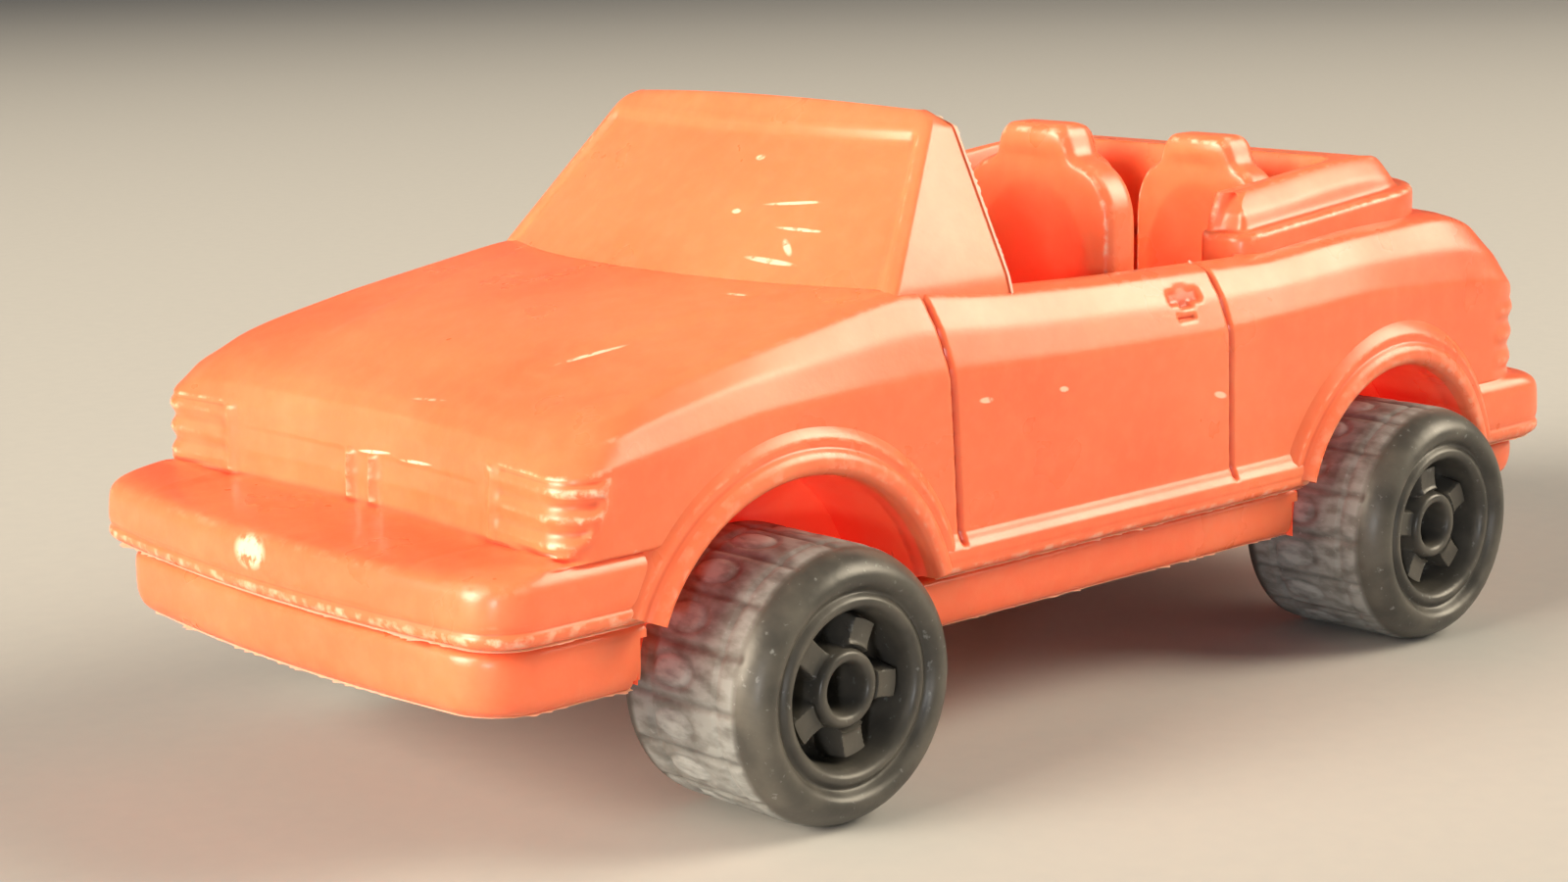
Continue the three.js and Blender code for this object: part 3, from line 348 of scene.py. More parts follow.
def plan_loop(front, rear, halves, corners, bows):
    """Closed plan curves, one a row: both ends as end_curve, sides between them, mirrored in y = 0."""
    col = lambda values: np.asarray(values, dtype=float)[:, None]
    half_front, half_mid, half_rear = (col(h) for h in halves)
    nose = end_curve(col(front), 1, half_front, col(corners[0]), col(bows[0]), SIDE_START)
    tail = end_curve(col(rear), -1, half_rear, col(corners[1]), col(bows[1]), SIDE_END)
    x = np.broadcast_to(SIDE_COLUMNS[None, 1:-1], (len(nose), len(SIDE_COLUMNS) - 2))
    side = np.stack([x, blend_ends(half_front, half_mid, half_rear, x)], axis=-1)
    half_loop = np.concatenate([nose, side, tail[:, ::-1]], axis=1)
    mirror = half_loop[:, -2:0:-1] * np.array([1.0, -1.0])
    return np.concatenate([half_loop, mirror], axis=1)


def foot_levels():
    """Plan curves and heights of the rows between the parting plane and the foot of nose and tail."""
    table = FOOT_LEVELS
    last = np.arange(len(table)) == len(table) - 1
    corners = [np.where(last, radius, BUMPER_CORNER) for radius in UPPER_LEVELS[0, 5:7]]
    bows = [np.where(last, bow, bumper) for bow, bumper in zip(UPPER_LEVELS[0, 7:9], BUMPER_BOWS)]
    loop = plan_loop(NOSE_X - table[:, 3], TAIL_X + table[:, 4], table[:, 5:8].T, corners, bows)
    z = blend_ends(table[:, 0:1], table[:, 1:2], table[:, 2:3], loop[..., 0])
    return np.concatenate([loop, z[..., None]], axis=-1)


def upper_levels():
    """Plan curves and heights of the soft crease, the brow, the belt edge and the start of the top."""
    table = UPPER_LEVELS
    loop = plan_loop(NOSE_X - table[:, 0], TAIL_X + table[:, 1], table[:, 2:5].T, table[:, 5:7].T,
                     table[:, 7:9].T)
    share, lift = table[:, 9:10], table[:, 10:11]
    x = loop[..., 0]
    z = (1 - share) * line_height(CREASE_LINE, x) + share * line_height(BELT_LINE, x) + lift
    return np.concatenate([loop, z[..., None]], axis=-1)


# Opening in the top, and the raised panel on the bonnet.
SCREEN_INNER_X, SCREEN_BOW, SCREEN_HALF = 18.9, 5.4, 21.7
DECK_END = -37.0
HOOD_LEDGE, LEDGE_BLEND = 3.2, (HOOD_FRONT + 0.5, HOOD_FRONT - 1.5)
PANEL_HALF, PANEL_TAPER, PANEL_START, PANEL_EDGE = 10.2, 0.23, 48.0, (-0.5, 0.7)
PANEL_REAR, PANEL_NOSE = (22.0, 27.0), (46.0, 38.0)


def screen_base(y):
    """Inner edge of the windscreen's foot in plan: a parabola across the car."""
    return SCREEN_INNER_X + SCREEN_BOW * (1 - (y / SCREEN_HALF) ** 2)


def inner_loop(rim):
    """Edge of the opening in the top: along the screen's foot, beside the seats and under the hood."""
    half = rim[: len(rim) // 2 + 1]
    beside = np.flatnonzero((half[:, 0] < screen_base(COCKPIT_HALF)) & (half[:, 0] > DECK_END))
    across = np.linspace(0, COCKPIT_HALF, beside[0])
    along = half[beside, 0]
    sides = COCKPIT_HALF - HOOD_LEDGE * ramp(*LEDGE_BLEND, along)
    behind = np.linspace(sides[-1], 0, len(half) - beside[-1] - 1)
    x = np.concatenate([screen_base(across), along, np.full(len(behind), DECK_END)])
    y = np.concatenate([across, sides, behind])
    loop = np.stack([x, y], axis=-1)
    return np.concatenate([loop, loop[-2:0:-1] * np.array([1.0, -1.0])])


def top_height(x, y):
    """Crowned top: belt(x) + crown * (1 - (y / half)**2), with a faint raised panel on the bonnet."""
    crown = TOP_CROWN * (1 - np.clip(np.abs(y) / UPPER_LEVELS[-1, 3], 0, 1) ** 2)
    panel = 1 - ramp(*PANEL_EDGE, np.abs(y) - (PANEL_HALF + PANEL_TAPER * (PANEL_START - x)))
    on_bonnet = ramp(*PANEL_REAR, x) * ramp(*PANEL_NOSE, x)
    return line_height(BELT_LINE, x) + TOP_LIFT + crown + BONNET_PANEL * panel * on_bonnet


# Head lamps, grille and tail lamps, in millimetres. FLUTES gives the depth of a head lamp's flutes on its
# face, how much deeper they are round the side, and how far the lamp lies back.
LAMP_LOW, LAMP_HIGH, LAMP_INNER, LAMP_PITCH = 20.1, 25.1, 15.2, 1.67
LAMP_TOP_X, LAMP_SWEEP, LAMP_SWEEP_POWER = 47.5, 2.6, 2.4
LAMP_EDGE, LAMP_SOFT, LAMP_SIDE, LAMP_FACE = 0.4, 0.3, (20.0, 23.0), (46.0, 48.0)
FLUTES = (0.16, 0.22, 0.12)
LAMP_RIM, INNER_RIM_WIDTH, OUTER_RIM_WIDTH, OUTER_RIM_SIDE = 0.26, 0.4, 0.32, (20.0, 21.0)
GRILLE_LOW, GRILLE_HIGH, GRILLE_HALF, GRILLE_FACE = 20.2, 23.8, 13.7, (47.0, 48.5)
GRILLE_SOFT, GRILLE_SINK, SLAT_RISE, SLAT_WIDTH = 0.4, 0.08, 0.05, 0.35
GRILLE_POST, POST_RISE, POST_WIDTH = 1.3, 0.5, 0.36
TAIL_LOW, TAIL_HIGH, TAIL_INNER, TAIL_X0, TAIL_PITCH = 18.8, 25.2, 13.0, -47.0, 2.1
TAIL_RIB, TAIL_SINK = 0.28, 0.1


def lamp_relief(points):
    """Flutes of the head and tail lamps and the grille, as a height over the skin in millimetres."""
    x, y, z = points[..., 0], np.abs(points[..., 1]), points[..., 2]
    rise = np.clip((LAMP_HIGH - z) / (LAMP_HIGH - LAMP_LOW), 0, 1)
    outer = LAMP_TOP_X + LAMP_SWEEP * rise ** LAMP_SWEEP_POWER
    tall = ramp(LAMP_LOW, LAMP_LOW + LAMP_SOFT, z) * ramp(LAMP_HIGH, LAMP_HIGH - LAMP_SOFT, z)
    wide = ramp(LAMP_INNER, LAMP_INNER + LAMP_EDGE, y) * ramp(outer, outer + LAMP_EDGE, x)
    rim = (bump(y - LAMP_INNER, INNER_RIM_WIDTH) * ramp(*LAMP_FACE, x)
           + bump(x - outer, OUTER_RIM_WIDTH) * ramp(*OUTER_RIM_SIDE, y))
    foot = bump(z - LAMP_LOW, LAMP_SOFT) * wide
    face, round_side, sink = FLUTES
    flute = (face + round_side * ramp(*LAMP_SIDE, y)) * wave(z - LAMP_LOW, LAMP_PITCH)
    relief = wide * tall * (flute - sink)
    relief += LAMP_RIM * np.clip(rim * tall + foot, 0, 1)
    grille = ramp(GRILLE_HALF, GRILLE_HALF - 0.5, y) * ramp(*GRILLE_FACE, x)
    grille *= ramp(GRILLE_LOW, GRILLE_LOW + GRILLE_SOFT, z)
    grille *= ramp(GRILLE_HIGH, GRILLE_HIGH - GRILLE_SOFT, z)
    post = POST_RISE * bump(y - GRILLE_POST, POST_WIDTH)
    slat = SLAT_RISE * bump(z - 0.5 * (GRILLE_LOW + GRILLE_HIGH), SLAT_WIDTH)
    relief += grille * (post + slat - GRILLE_SINK)
    tail = ramp(TAIL_X0, TAIL_X0 - 0.8, x) * ramp(TAIL_INNER, TAIL_INNER + 0.6, y)
    tail *= ramp(TAIL_LOW, TAIL_LOW + GRILLE_SOFT, z) * ramp(TAIL_HIGH, TAIL_HIGH - GRILLE_SOFT, z)
    return relief + tail * (TAIL_RIB * wave(z - TAIL_LOW, TAIL_PITCH) - TAIL_SINK)


# Door shut lines and handles, in millimetres.
DOOR_LOW, DOOR_RISE = 15.5, 17.5
DOOR_FRONT_X, DOOR_REAR_X = 16.3, -12.9
DOOR_FRONT_LEAN, DOOR_FRONT_CURVE, DOOR_REAR_LEAN = 1.4, 0.5, 1.4
DOOR_SIDE = (19.5, 20.5)
SHUT_WIDTH = 0.18
# How strongly the shut lines and handle recesses take the painted shade.
DOOR_SHADE = 7.0

# Handle recess: half lengths and half heights as soft edges, and a slot below it.
HANDLE_X, HANDLE_Z, HANDLE_DEPTH, HANDLE_TILT, HANDLE_LIMITS = -7.8, 29.9, 0.3, 0.9, (0.2, 2.5)
HANDLE_BAR, HANDLE_POST = ((2.1, 1.4), (0.7, 0.3)), ((1.0, 0.4), (1.0, 0.6))
SLOT_X, SLOT_DROP, SLOT_WIDTH, SLOT_ENDS, SLOT_SHARE = 0.3, 1.55, 0.16, (1.1, 0.8), 0.5


def door_relief(points, shut_line):
    """Shut lines and handle recesses of both doors, as a height over the skin in millimetres."""
    x, y, z = points[..., 0], np.abs(points[..., 1]), points[..., 2]
    side = ramp(*DOOR_SIDE, y) * ramp(DOOR_LOW - 0.3, DOOR_LOW + 0.4, z)
    rise = (z - DOOR_LOW) / DOOR_RISE
    front_line = x - (DOOR_FRONT_X + DOOR_FRONT_LEAN * rise + DOOR_FRONT_CURVE * rise ** 2)
    rear_line = x - (DOOR_REAR_X + DOOR_REAR_LEAN * rise)
    lines = bump(front_line, SHUT_WIDTH) + bump(rear_line, SHUT_WIDTH)
    along, up = np.abs(x - HANDLE_X), z - HANDLE_Z
    slot = SLOT_SHARE * ramp(*SLOT_ENDS, np.abs(x - HANDLE_X - SLOT_X)) * bump(up + SLOT_DROP, SLOT_WIDTH)
    shape = slot
    for ends, edges in (HANDLE_BAR, HANDLE_POST):
        shape = np.maximum(shape, ramp(*ends, along) * ramp(*edges, np.abs(up)))
    floor = HANDLE_DEPTH * np.clip(1 - HANDLE_TILT * up, *HANDLE_LIMITS)
    return -side * (shut_line * lines + floor * shape)


def outside_arches(margin, half):
    """Test for face centres outside every wheel arch, its circle grown by margin, beyond a half width."""
    def keep(middle):
        clear = np.ones(middle.shape[:-1], dtype=bool)
        for end in ENDS:
            reach = np.hypot(middle[..., 0] - ARCH_X[end], middle[..., 2] - ARCH_Z[end])
            clear &= ~((reach < ARCH_RADIUS[end] + margin) & (np.abs(middle[..., 1]) > half))
        return clear
    return keep


RIM_DROPS = np.array([0.35, 1.2, 4.2])
SKIN_CORE, SKIN_INSIDE = (0.0, 0.0, 18.0), (0.0, 0.0, 10.0)
TOP_CROWDING, TOP_BLEND = 0.85, 0.12
ARCH_KEEP = 15.0

# Torn flash, in millimetres: step along the edge, half thickness at its root, least reach, depth of its
# root; then the power and smoothing of its random reach and the share of the edge that it covers.
FLASH_STEP, FLASH_ROOT, FLASH_LEAST, FLASH_SINK = 0.22, 0.12, 0.06, 0.3
FLASH_POWER, FLASH_SOFT, FLASH_COVER = 5, 60, (0.42, 0.6)
BODY_FLASH_SEED, TRAY_FLASH_SEED, SCREEN_FLASH_SEED = 3, 11, 5


def body_skin_patches(shut_line, flash):
    """Body skin: plan curves stacked from the bumpers to the belt, then a crowned top sheet.

    Each row is a closed curve in plan; rows between the key levels are straight blends, rounded by
    a (1, 2, 1) average, and the lamps, grille and doors stand along the normal by their relief.
    """
    keys = np.concatenate([foot_levels(), upper_levels()])
    rows = np.concatenate([FOOT_LEVELS[:, -1], UPPER_LEVELS[:-1, -1]]).astype(int)
    side = through(keys, rows)
    rim = side[-1]
    loop = inner_loop(rim)
    shares = np.linspace(0, 1, TOP_ROWS + 1)[1:, None, None] ** TOP_CROWDING
    plan = rim[None, :, :2] * (1 - shares) + loop[None] * shares
    crown = ramp(0.0, TOP_BLEND, shares[..., 0])
    z = rim[None, :, 2] * (1 - crown) + top_height(plan[..., 0], plan[..., 1]) * crown
    top = np.concatenate([plan, z[..., None]], axis=-1)
    wall = np.repeat(top[-1:], len(RIM_DROPS), axis=0)
    wall[..., 2] -= RIM_DROPS[:, None]
    whole = soften(soften(np.concatenate([side, top, wall]), 3, 0), 1, 1, wrap=True)
    wrap = (False, True)
    whole = whole + grid_normals(whole, wrap, SKIN_CORE) * lamp_relief(whole)[..., None]
    normals = grid_normals(whole, wrap, SKIN_CORE)
    doors = door_relief(whole, shut_line)
    keep = outside_arches(ARCH_CUT, ARCH_KEEP)
    skin = Patch(whole + normals * doors[..., None], wrap, inside=SKIN_INSIDE, keep=keep)
    worn = Patch(whole, wrap).mark_edges(normals).marks["bend"]
    # Painted shade: shut lines and handle recesses push the bend mark down, so they take the darker red.
    skin.marks["bend"] = worn + DOOR_SHADE * doors
    edge = even_loop(keys[FLASH_LEVEL])
    return [skin, flash_patch(edge, plan_out(edge), flash, BODY_FLASH_SEED, keep)]


def even_loop(loop):
    """A closed curve at even steps."""
    closed = np.concatenate([loop, loop[:1]])
    count = int(np.linalg.norm(np.diff(closed[:, :2], axis=0), axis=-1).sum() / FLASH_STEP)
    return resample(closed, count)[:-1]


def plan_out(loop):
    """Unit directions out of a closed curve in plan."""
    along = np.roll(loop, -1, 0) - np.roll(loop, 1, 0)
    out = np.stack([along[:, 1], -along[:, 0], 0 * along[:, 0]], axis=-1)
    return out / np.linalg.norm(out, axis=-1, keepdims=True)


def flash_patch(edge, out, longest, seed, keep=None, wrap=True):
    """Torn flash along an edge: a thin wedge whose tip stands out by longest * random**5, in patches."""
    random = np.random.default_rng(seed)
    torn = soften(random.random(len(edge)) ** FLASH_POWER, 1, 0, wrap)
    patchy = soften(random.random(len(edge)), FLASH_SOFT, 0, wrap)
    reach = longest * torn * ramp(*FLASH_COVER, patchy) + FLASH_LEAST
    along = np.gradient(edge, axis=0)
    across = np.cross(along, out)
    across *= FLASH_ROOT / np.linalg.norm(across, axis=-1, keepdims=True)
    root = edge - FLASH_SINK * out
    grid = np.stack([root + across, edge + out * reach[:, None], root - across])
    return Patch(grid, (False, wrap), inside=edge.mean(axis=0), keep=keep, bend=TORN_BEND)


# Section of the arch lip: distance out from the arch circle, distance out from the side skin.
LIP = np.array((
    (0.0, -1.2), (0.0, 0.55), (0.18, 0.95), (0.6, 1.22), (1.15, 1.2), (1.6, 0.95), (1.85, 0.6),
    (2.15, 0.6), (2.45, 0.66), (2.8, 0.45), (3.2, 0.12), (3.6, -0.3), (3.9, -0.8)))
LIP_DROP = 0.15
ARCH_STEPS, BARREL_ROWS, WALL_ROWS = 120, 10, 8
WELL_MIDDLE, WELL_GAP = 20.0, 0.05
WELL_FOOT = {"front": (10.9, TRAY_Z + WELL_GAP), "rear": (TRAY_Z + WELL_GAP, TRAY_Z + WELL_GAP)}
SILL_HALF, SILL_Z, SIDE_SWELL, SIDE_SWELL_RISE = 23.4, 16.4, 0.5, 11.0
SIDE_BOW, SIDE_BOW_X = 0.3, 49.8


def side_half(x, z):
    """Half width of the plain side skin: wider with height up to the crease, less by a parabola in x."""
    swell = SIDE_SWELL * np.clip((z - SILL_Z) / SIDE_SWELL_RISE, 0, 1)
    return SILL_HALF + swell - SIDE_BOW * (x / SIDE_BOW_X) ** 2


def arch_patches(end):
    """Arch of one axle on both sides: the lip section swept round the arch, and the wheel housing behind
    it, which carries the painted red glow.
    """
    centre_x, centre_z, radius = ARCH_X[end], ARCH_Z[end], ARCH_RADIUS[end]
    ahead, behind = ARCH_FOOT[end]
    turn = np.linspace(math.asin((ahead - centre_z) / radius),
                       math.pi - math.asin((behind - centre_z) / radius), ARCH_STEPS)[None, :]
    section = soften(through(LIP, [3] * (len(LIP) - 1)), 2, 0)
    r = radius + section[:, 0:1]
    x = centre_x + r * np.cos(turn)
    z = np.maximum(centre_z + r * np.sin(turn), np.where(x > centre_x, ahead, behind) - LIP_DROP)
    lip = np.stack([x, side_half(x, z) + section[:, 1:2], z], axis=-1)
    low_ahead, low_behind = (math.asin((foot - centre_z) / radius) for foot in WELL_FOOT[end])
    round_turn = np.linspace(low_ahead, math.pi - low_behind, ARCH_STEPS)[None, :]
    well_x, well_z = centre_x + radius * np.cos(round_turn), centre_z + radius * np.sin(round_turn)
    parting = np.where(well_x > centre_x, ahead, behind)
    skirt = np.where(well_x > FRONT_BLEND[0], END_SKIRT_HALF, SKIRT_HALF) - WELL_GAP
    outer = np.where(well_z > parting, WELL_OUTER, skirt)
    depth = np.linspace(0, 1, BARREL_ROWS)[:, None]
    barrel = np.stack(np.broadcast_arrays(
        well_x, WELL_HALF + depth * (outer - WELL_HALF), well_z), axis=-1)
    share = np.linspace(1, 0, WALL_ROWS)[:, None]
    wall = np.stack(np.broadcast_arrays(
        centre_x + share * (well_x - centre_x), np.array(WELL_HALF),
        np.maximum(centre_z + share * (well_z - centre_z), TRAY_Z + WELL_GAP)), axis=-1)
    patches = []
    for _, side in HANDS:
        flip = np.array([1.0, side, 1.0])
        outward = np.array([0.0, side, 0.0])
        middle = np.array([centre_x, side * WELL_MIDDLE, centre_z])
        rim = Patch(lip * flip, facing=outward)
        core = (centre_x, side * ARCH_KEEP, centre_z)
        patches.append(rim.mark_edges(grid_normals(rim.grid, rim.wrap, core)))
        # The barrel and inner wall carry the painted red glow mark.
        patches.append(Patch(barrel * flip, facing=middle - quad_middles(barrel * flip), well=1.0))
        patches.append(Patch(wall * flip, facing=outward, well=1.0))
    return patches


# Windscreen rows: height, corner x, half width, bow of the glass, back edge x.
SCREEN_KEYS = np.array((
    (30.6, 22.4, 22.0, 5.9, 9.2), (33.1, 20.6, 21.55, 5.4, 9.45), (43.4, 12.8, 17.1, 1.6, 10.2),
    (44.0, 12.3, 16.5, 1.5, 10.25), (44.4, 12.0, 15.3, 1.4, 10.3)))
SCREEN_ROWS = [6, 44, 5, 4]
PANEL_COLUMNS, PILLAR_COLUMNS, GLASS_COLUMNS, GLASS_CROWDING = 22, 10, 60, 0.8
PILLAR_ROUND, GLASS_STEP, GLASS_START = 0.5, 0.05, (0.1, 0.5)
SCREEN_WALL = 1.35
GLASS_EDGE, GLASS_TOP = (0.8, 1.3), (43.2, 42.5)
SCREEN_CORE = np.array([8.0, 0.0, 30.0])
SCREEN_FLASH = 0.5
HEADER_CROWN, HEADER_DROP, HEADER_Z, HEADER_SIDE = 0.5, 0.6, (43.0, 44.4), (0.5, 2.2)
CREST_RISE = 0.2


def windscreen_patches(recess, flash):
    """Windscreen: rows (back edge, side panel, rounded pillar, bowed glass) lofted from base to header."""
    z, corner, half, bow, back = np.split(through(SCREEN_KEYS, SCREEN_ROWS), 5, axis=1)
    panel = np.linspace(0, 1, PANEL_COLUMNS)[None, :]
    pillar = np.linspace(0, QUARTER, PILLAR_COLUMNS)[None, 1:-1]
    across = np.linspace(1, 0, GLASS_COLUMNS)[None, :] ** GLASS_CROWDING
    side_x = back + panel * (corner - PILLAR_ROUND - back)
    side_y = np.broadcast_to(half, side_x.shape)
    turn_x = side_x[:, -1:] + PILLAR_ROUND * np.sin(pillar)
    turn_y = half - PILLAR_ROUND * (1 - np.cos(pillar))
    glass_x = turn_x[:, -1:] + GLASS_STEP + bow * (1 - across ** 2)
    x = np.concatenate([side_x, turn_x, glass_x], axis=1)
    y = np.concatenate([side_y, turn_y, (half - PILLAR_ROUND) * across], axis=1)
    crown = HEADER_CROWN * (1 - (y / half) ** 2) - HEADER_DROP * ramp(*HEADER_SIDE, corner - x)
    level = z + ramp(*HEADER_Z, z) * crown
    left = np.stack([x, y, level], axis=-1)
    sheet = np.concatenate([left, left[:, -2::-1] * np.array([1.0, -1.0, 1.0])], axis=1)
    sheet = soften(soften(sheet, 1, 1), 2, 0)
    wrap = (False, False)
    normals = grid_normals(sheet, wrap, SCREEN_CORE)
    inset = half - np.abs(sheet[..., 1])
    ahead = ramp(*GLASS_START, sheet[..., 0] - corner + PILLAR_ROUND)
    on_glass = ramp(*GLASS_EDGE, inset) * ramp(*GLASS_TOP, sheet[..., 2]) * ahead
    sheet = sheet - normals * recess * on_glass[..., None]
    inner = sheet - normals * SCREEN_WALL
    inner[..., 0] = np.maximum(inner[..., 0], back)
    crest = 0.5 * (sheet[-1] + inner[-1]) + np.array([0.0, 0.0, CREST_RISE])
    rolled = soften(through(np.stack([sheet[-2], sheet[-1], crest, inner[-1]]), [2, 4, 4]), 2, 0)
    outside = Patch(sheet, inside=SCREEN_CORE).mark_edges(grid_normals(sheet, wrap, SCREEN_CORE))
    to_rear = np.array([-1.0, 0.0, 0.0])
    patches = [outside, Patch(inner, facing=SCREEN_CORE - quad_middles(inner)),
               Patch(rolled, facing=np.array([0.0, 0.0, 1.0]), bend=CUT_BEND)]
    for k in (0, -1):
        patches.append(Patch(through(np.stack([sheet[:, k], inner[:, k]]), [4]), facing=to_rear,
                             bend=CUT_BEND))
        edge = through(sheet[:, k], [3] * (len(sheet) - 1))
        patches.append(flash_patch(edge, np.broadcast_to(to_rear, edge.shape), SCREEN_FLASH * flash,
                                   SCREEN_FLASH_SEED + k, wrap=False))
    return patches


# Folded hood, in millimetres: half widths, corner radii, heights of the lip and the pad.
HOOD_HALF, HOOD_TAIL_HALF, HOOD_INNER, HOOD_INNER_REAR = 20.7, 20.1, 15.7, -34.6
HOOD_CORNER, HOOD_TIP, HOOD_NOOK = 6.5, 2.0, 2.2
HOOD_ROOT_Z, LIP_FRONT_Z, LIP_RISE, PAD_FRONT_Z, PAD_RISE, PAD_FALL = 30.0, 33.0, 2.1, 36.0, 1.35, 0.28
HOOD_SHELF, HOOD_TAIL_SHELF, HOOD_INNER_ROUND = 1.3, 2.3, 0.35
PAD_RISE_END, PAD_FALL_START = 0.7, 0.72
HOOD_NOTCH = 0.8
HOOD_POINTS, PAD_POINTS = 190, 70
HOOD_CORE, HOOD_LOOKS_UP = (-30.0, 0.0, 20.0), 0.6

# Rings of the hood from its root to the pad: share of the shelf, inset of the rounded pad, which of the
# root, lip and pad heights it goes by, lift above that, rows to the next ring.
HOOD_RINGS = (
    (0.00, 0.00, 0, 0.00, 5), (0.00, 0.00, 1, -0.50, 3), (0.12, 0.00, 1, -0.12, 3),
    (0.38, 0.00, 1, 0.02, 4), (0.80, 0.00, 1, 0.02, 3), (0.98, 0.05, 1, 0.20, 4),
    (1.00, 0.35, 2, -1.60, 5), (1.00, 1.15, 2, -0.55, 3), (1.00, 1.55, 2, -0.12, 3),
    (1.00, 1.90, 2, 0.00, 1), (1.00, 2.00, 2, 0.02, 0))


def hood_outline():
    """Closed plan outline of the folded hood, with the width of its shelf and of its rounding."""
    bend, tip = HOOD_REAR + HOOD_CORNER, HOOD_FRONT - HOOD_TIP
    side = HOOD_HALF - HOOD_TIP
    nook = HOOD_INNER_REAR + HOOD_NOOK
    parts = (
        ([(HOOD_REAR, 0.0)], HOOD_TAIL_SHELF, 1.0),
        (arc((bend, HOOD_TAIL_HALF - HOOD_CORNER), HOOD_CORNER, 2, 1.5), HOOD_TAIL_SHELF, 1.0),
        (arc((bend, HOOD_TAIL_HALF - HOOD_CORNER), HOOD_CORNER, 1.4, 1), HOOD_SHELF, 1.0),
        (arc((tip, side), HOOD_TIP, 1, 0), HOOD_SHELF, 1.0),
        ([(HOOD_FRONT, HOOD_INNER + HOOD_NOTCH)], HOOD_SHELF, 1.0),
        ([(HOOD_FRONT - HOOD_NOTCH, HOOD_INNER)], 0.0, HOOD_INNER_ROUND),
        (arc((nook, HOOD_INNER - HOOD_NOOK), HOOD_NOOK, 1, 2), 0.0, HOOD_INNER_ROUND),
        ([(HOOD_INNER_REAR, 0.0)], 0.0, HOOD_INNER_ROUND),
    )
    half = np.concatenate([
        np.column_stack([points, np.full(len(points), shelf), np.full(len(points), rounding)])
        for points, shelf, rounding in parts])
    half = soften(resample(half, HOOD_POINTS), 2, 0)
    return np.concatenate([half, half[-2:0:-1] * np.array([1.0, -1.0, 1.0, 1.0])])


def hood_patches():
    """Folded hood: its outline drawn in ring by ring, with a lip, a step and a rounded pad on top."""
    outline = hood_outline()
    plan, shelf, rounding = outline[:, :2], outline[:, 2:3], outline[:, 3:4]
    step = np.roll(plan, -1, 0) - np.roll(plan, 1, 0)
    out = np.stack([-step[:, 1], step[:, 0]], axis=-1)
    out = soften(out / np.linalg.norm(out, axis=-1, keepdims=True), 3, 0, wrap=True)
    shelf = soften(shelf, 12, 0, wrap=True)
    back = np.clip((HOOD_FRONT - plan[:, 0:1]) / (HOOD_FRONT - HOOD_REAR), 0, 1)
    pad = PAD_FRONT_Z + PAD_RISE * ramp(0, PAD_RISE_END, back) - PAD_FALL * ramp(PAD_FALL_START, 1.0, back)
    heights = (HOOD_ROOT_Z + 0 * back, LIP_FRONT_Z + LIP_RISE * back, pad)
    keys = np.stack([
        np.concatenate([plan - out * (share * shelf + inset * rounding), heights[level] + lift], axis=-1)
        for share, inset, level, lift, _ in HOOD_RINGS])
    rows = [ring[-1] for ring in HOOD_RINGS[:-1]]
    grid = soften(through(keys, rows), 1, 0)
    up = np.full((1, len(plan), 1), HOOD_LOOKS_UP)
    facing = np.concatenate([out[None], up], axis=-1)
    sides = Patch(grid, (False, True), facing=facing)
    sides.mark_edges(grid_normals(grid, (False, True), HOOD_CORE))
    return [sides, Patch(pad_top(grid[-1]), facing=np.array([0.0, 0.0, 1.0]))]


def pad_top(ring):
    """Closes the inmost ring of the hood: straight blends between its outer and inner halves."""
    half = ring[:HOOD_POINTS]
    tip = int(np.argmax(half[:, 0]))
    mirror = np.array([1.0, -1.0, 1.0])
    outer = half[: tip + 1]
    inner = half[tip:][::-1]
    pair = []
    for run in (outer, inner):
        even = resample(run, PAD_POINTS)
        pair.append(np.concatenate([(even * mirror)[::-1], even[1:]]))
    return through(np.stack(pair), [4])


# Seats: row, x of the face, y of the middle, width, shoulder height, top, cushion length.
SEATS = (("front", -5.2, 10.0, 15.4, 39.3, 42.0, 12.0), ("rear", -26.2, 8.4, 12.6, 36.9, 39.4, 9.0))
SEAT_FOOT, SEAT_THICK, CUSHION_TOP, CUSHION_TUCK = 17.4, 3.6, 22.8, 1.0
SHOULDER_START, SEAT_MIDDLE = 0.79, 0.66
SHOULDER_POINTS, SEAT_POINTS = 14, 90
SEAT_FACE = (-1.6, -0.2)

# Hollow of a seat back: its middle and half height as shares of the back's height, half width as a share
# of its width, depth, power of its edge, then how far the painted red glow in it reaches and how strong it
# is.
SCOOP_MIDDLE, SCOOP_RISE, SCOOP_WIDE, SCOOP_DEPTH, SCOOP_POWER = 0.56, 0.38, 0.4, 2.3, 1.4
SCOOP_REACH, SCOOP_GLOW = 1.2, 1.0
PILLOW_RISE, PILLOW_START = 0.4, 1.2
NECK_HALF, REST_HALF, REST_TOP_HALF = 4.2, 3.6, 3.05

# Rings of a seat back from the middle of its face to the middle of its back: share of the outline, depth.
SEAT_RINGS = (
    (0.0, 0.0, 6), (0.3, 0.0, 8), (0.6, 0.0, 8), (0.88, 0.0, 4), (0.955, -0.12, 4), (1.0, -0.75, 6),
    (1.0, 0.9 - SEAT_THICK, 4), (0.95, 0.2 - SEAT_THICK, 3), (0.85, -SEAT_THICK, 6), (0.4, -SEAT_THICK, 6),
    (0.0, -SEAT_THICK, 0))


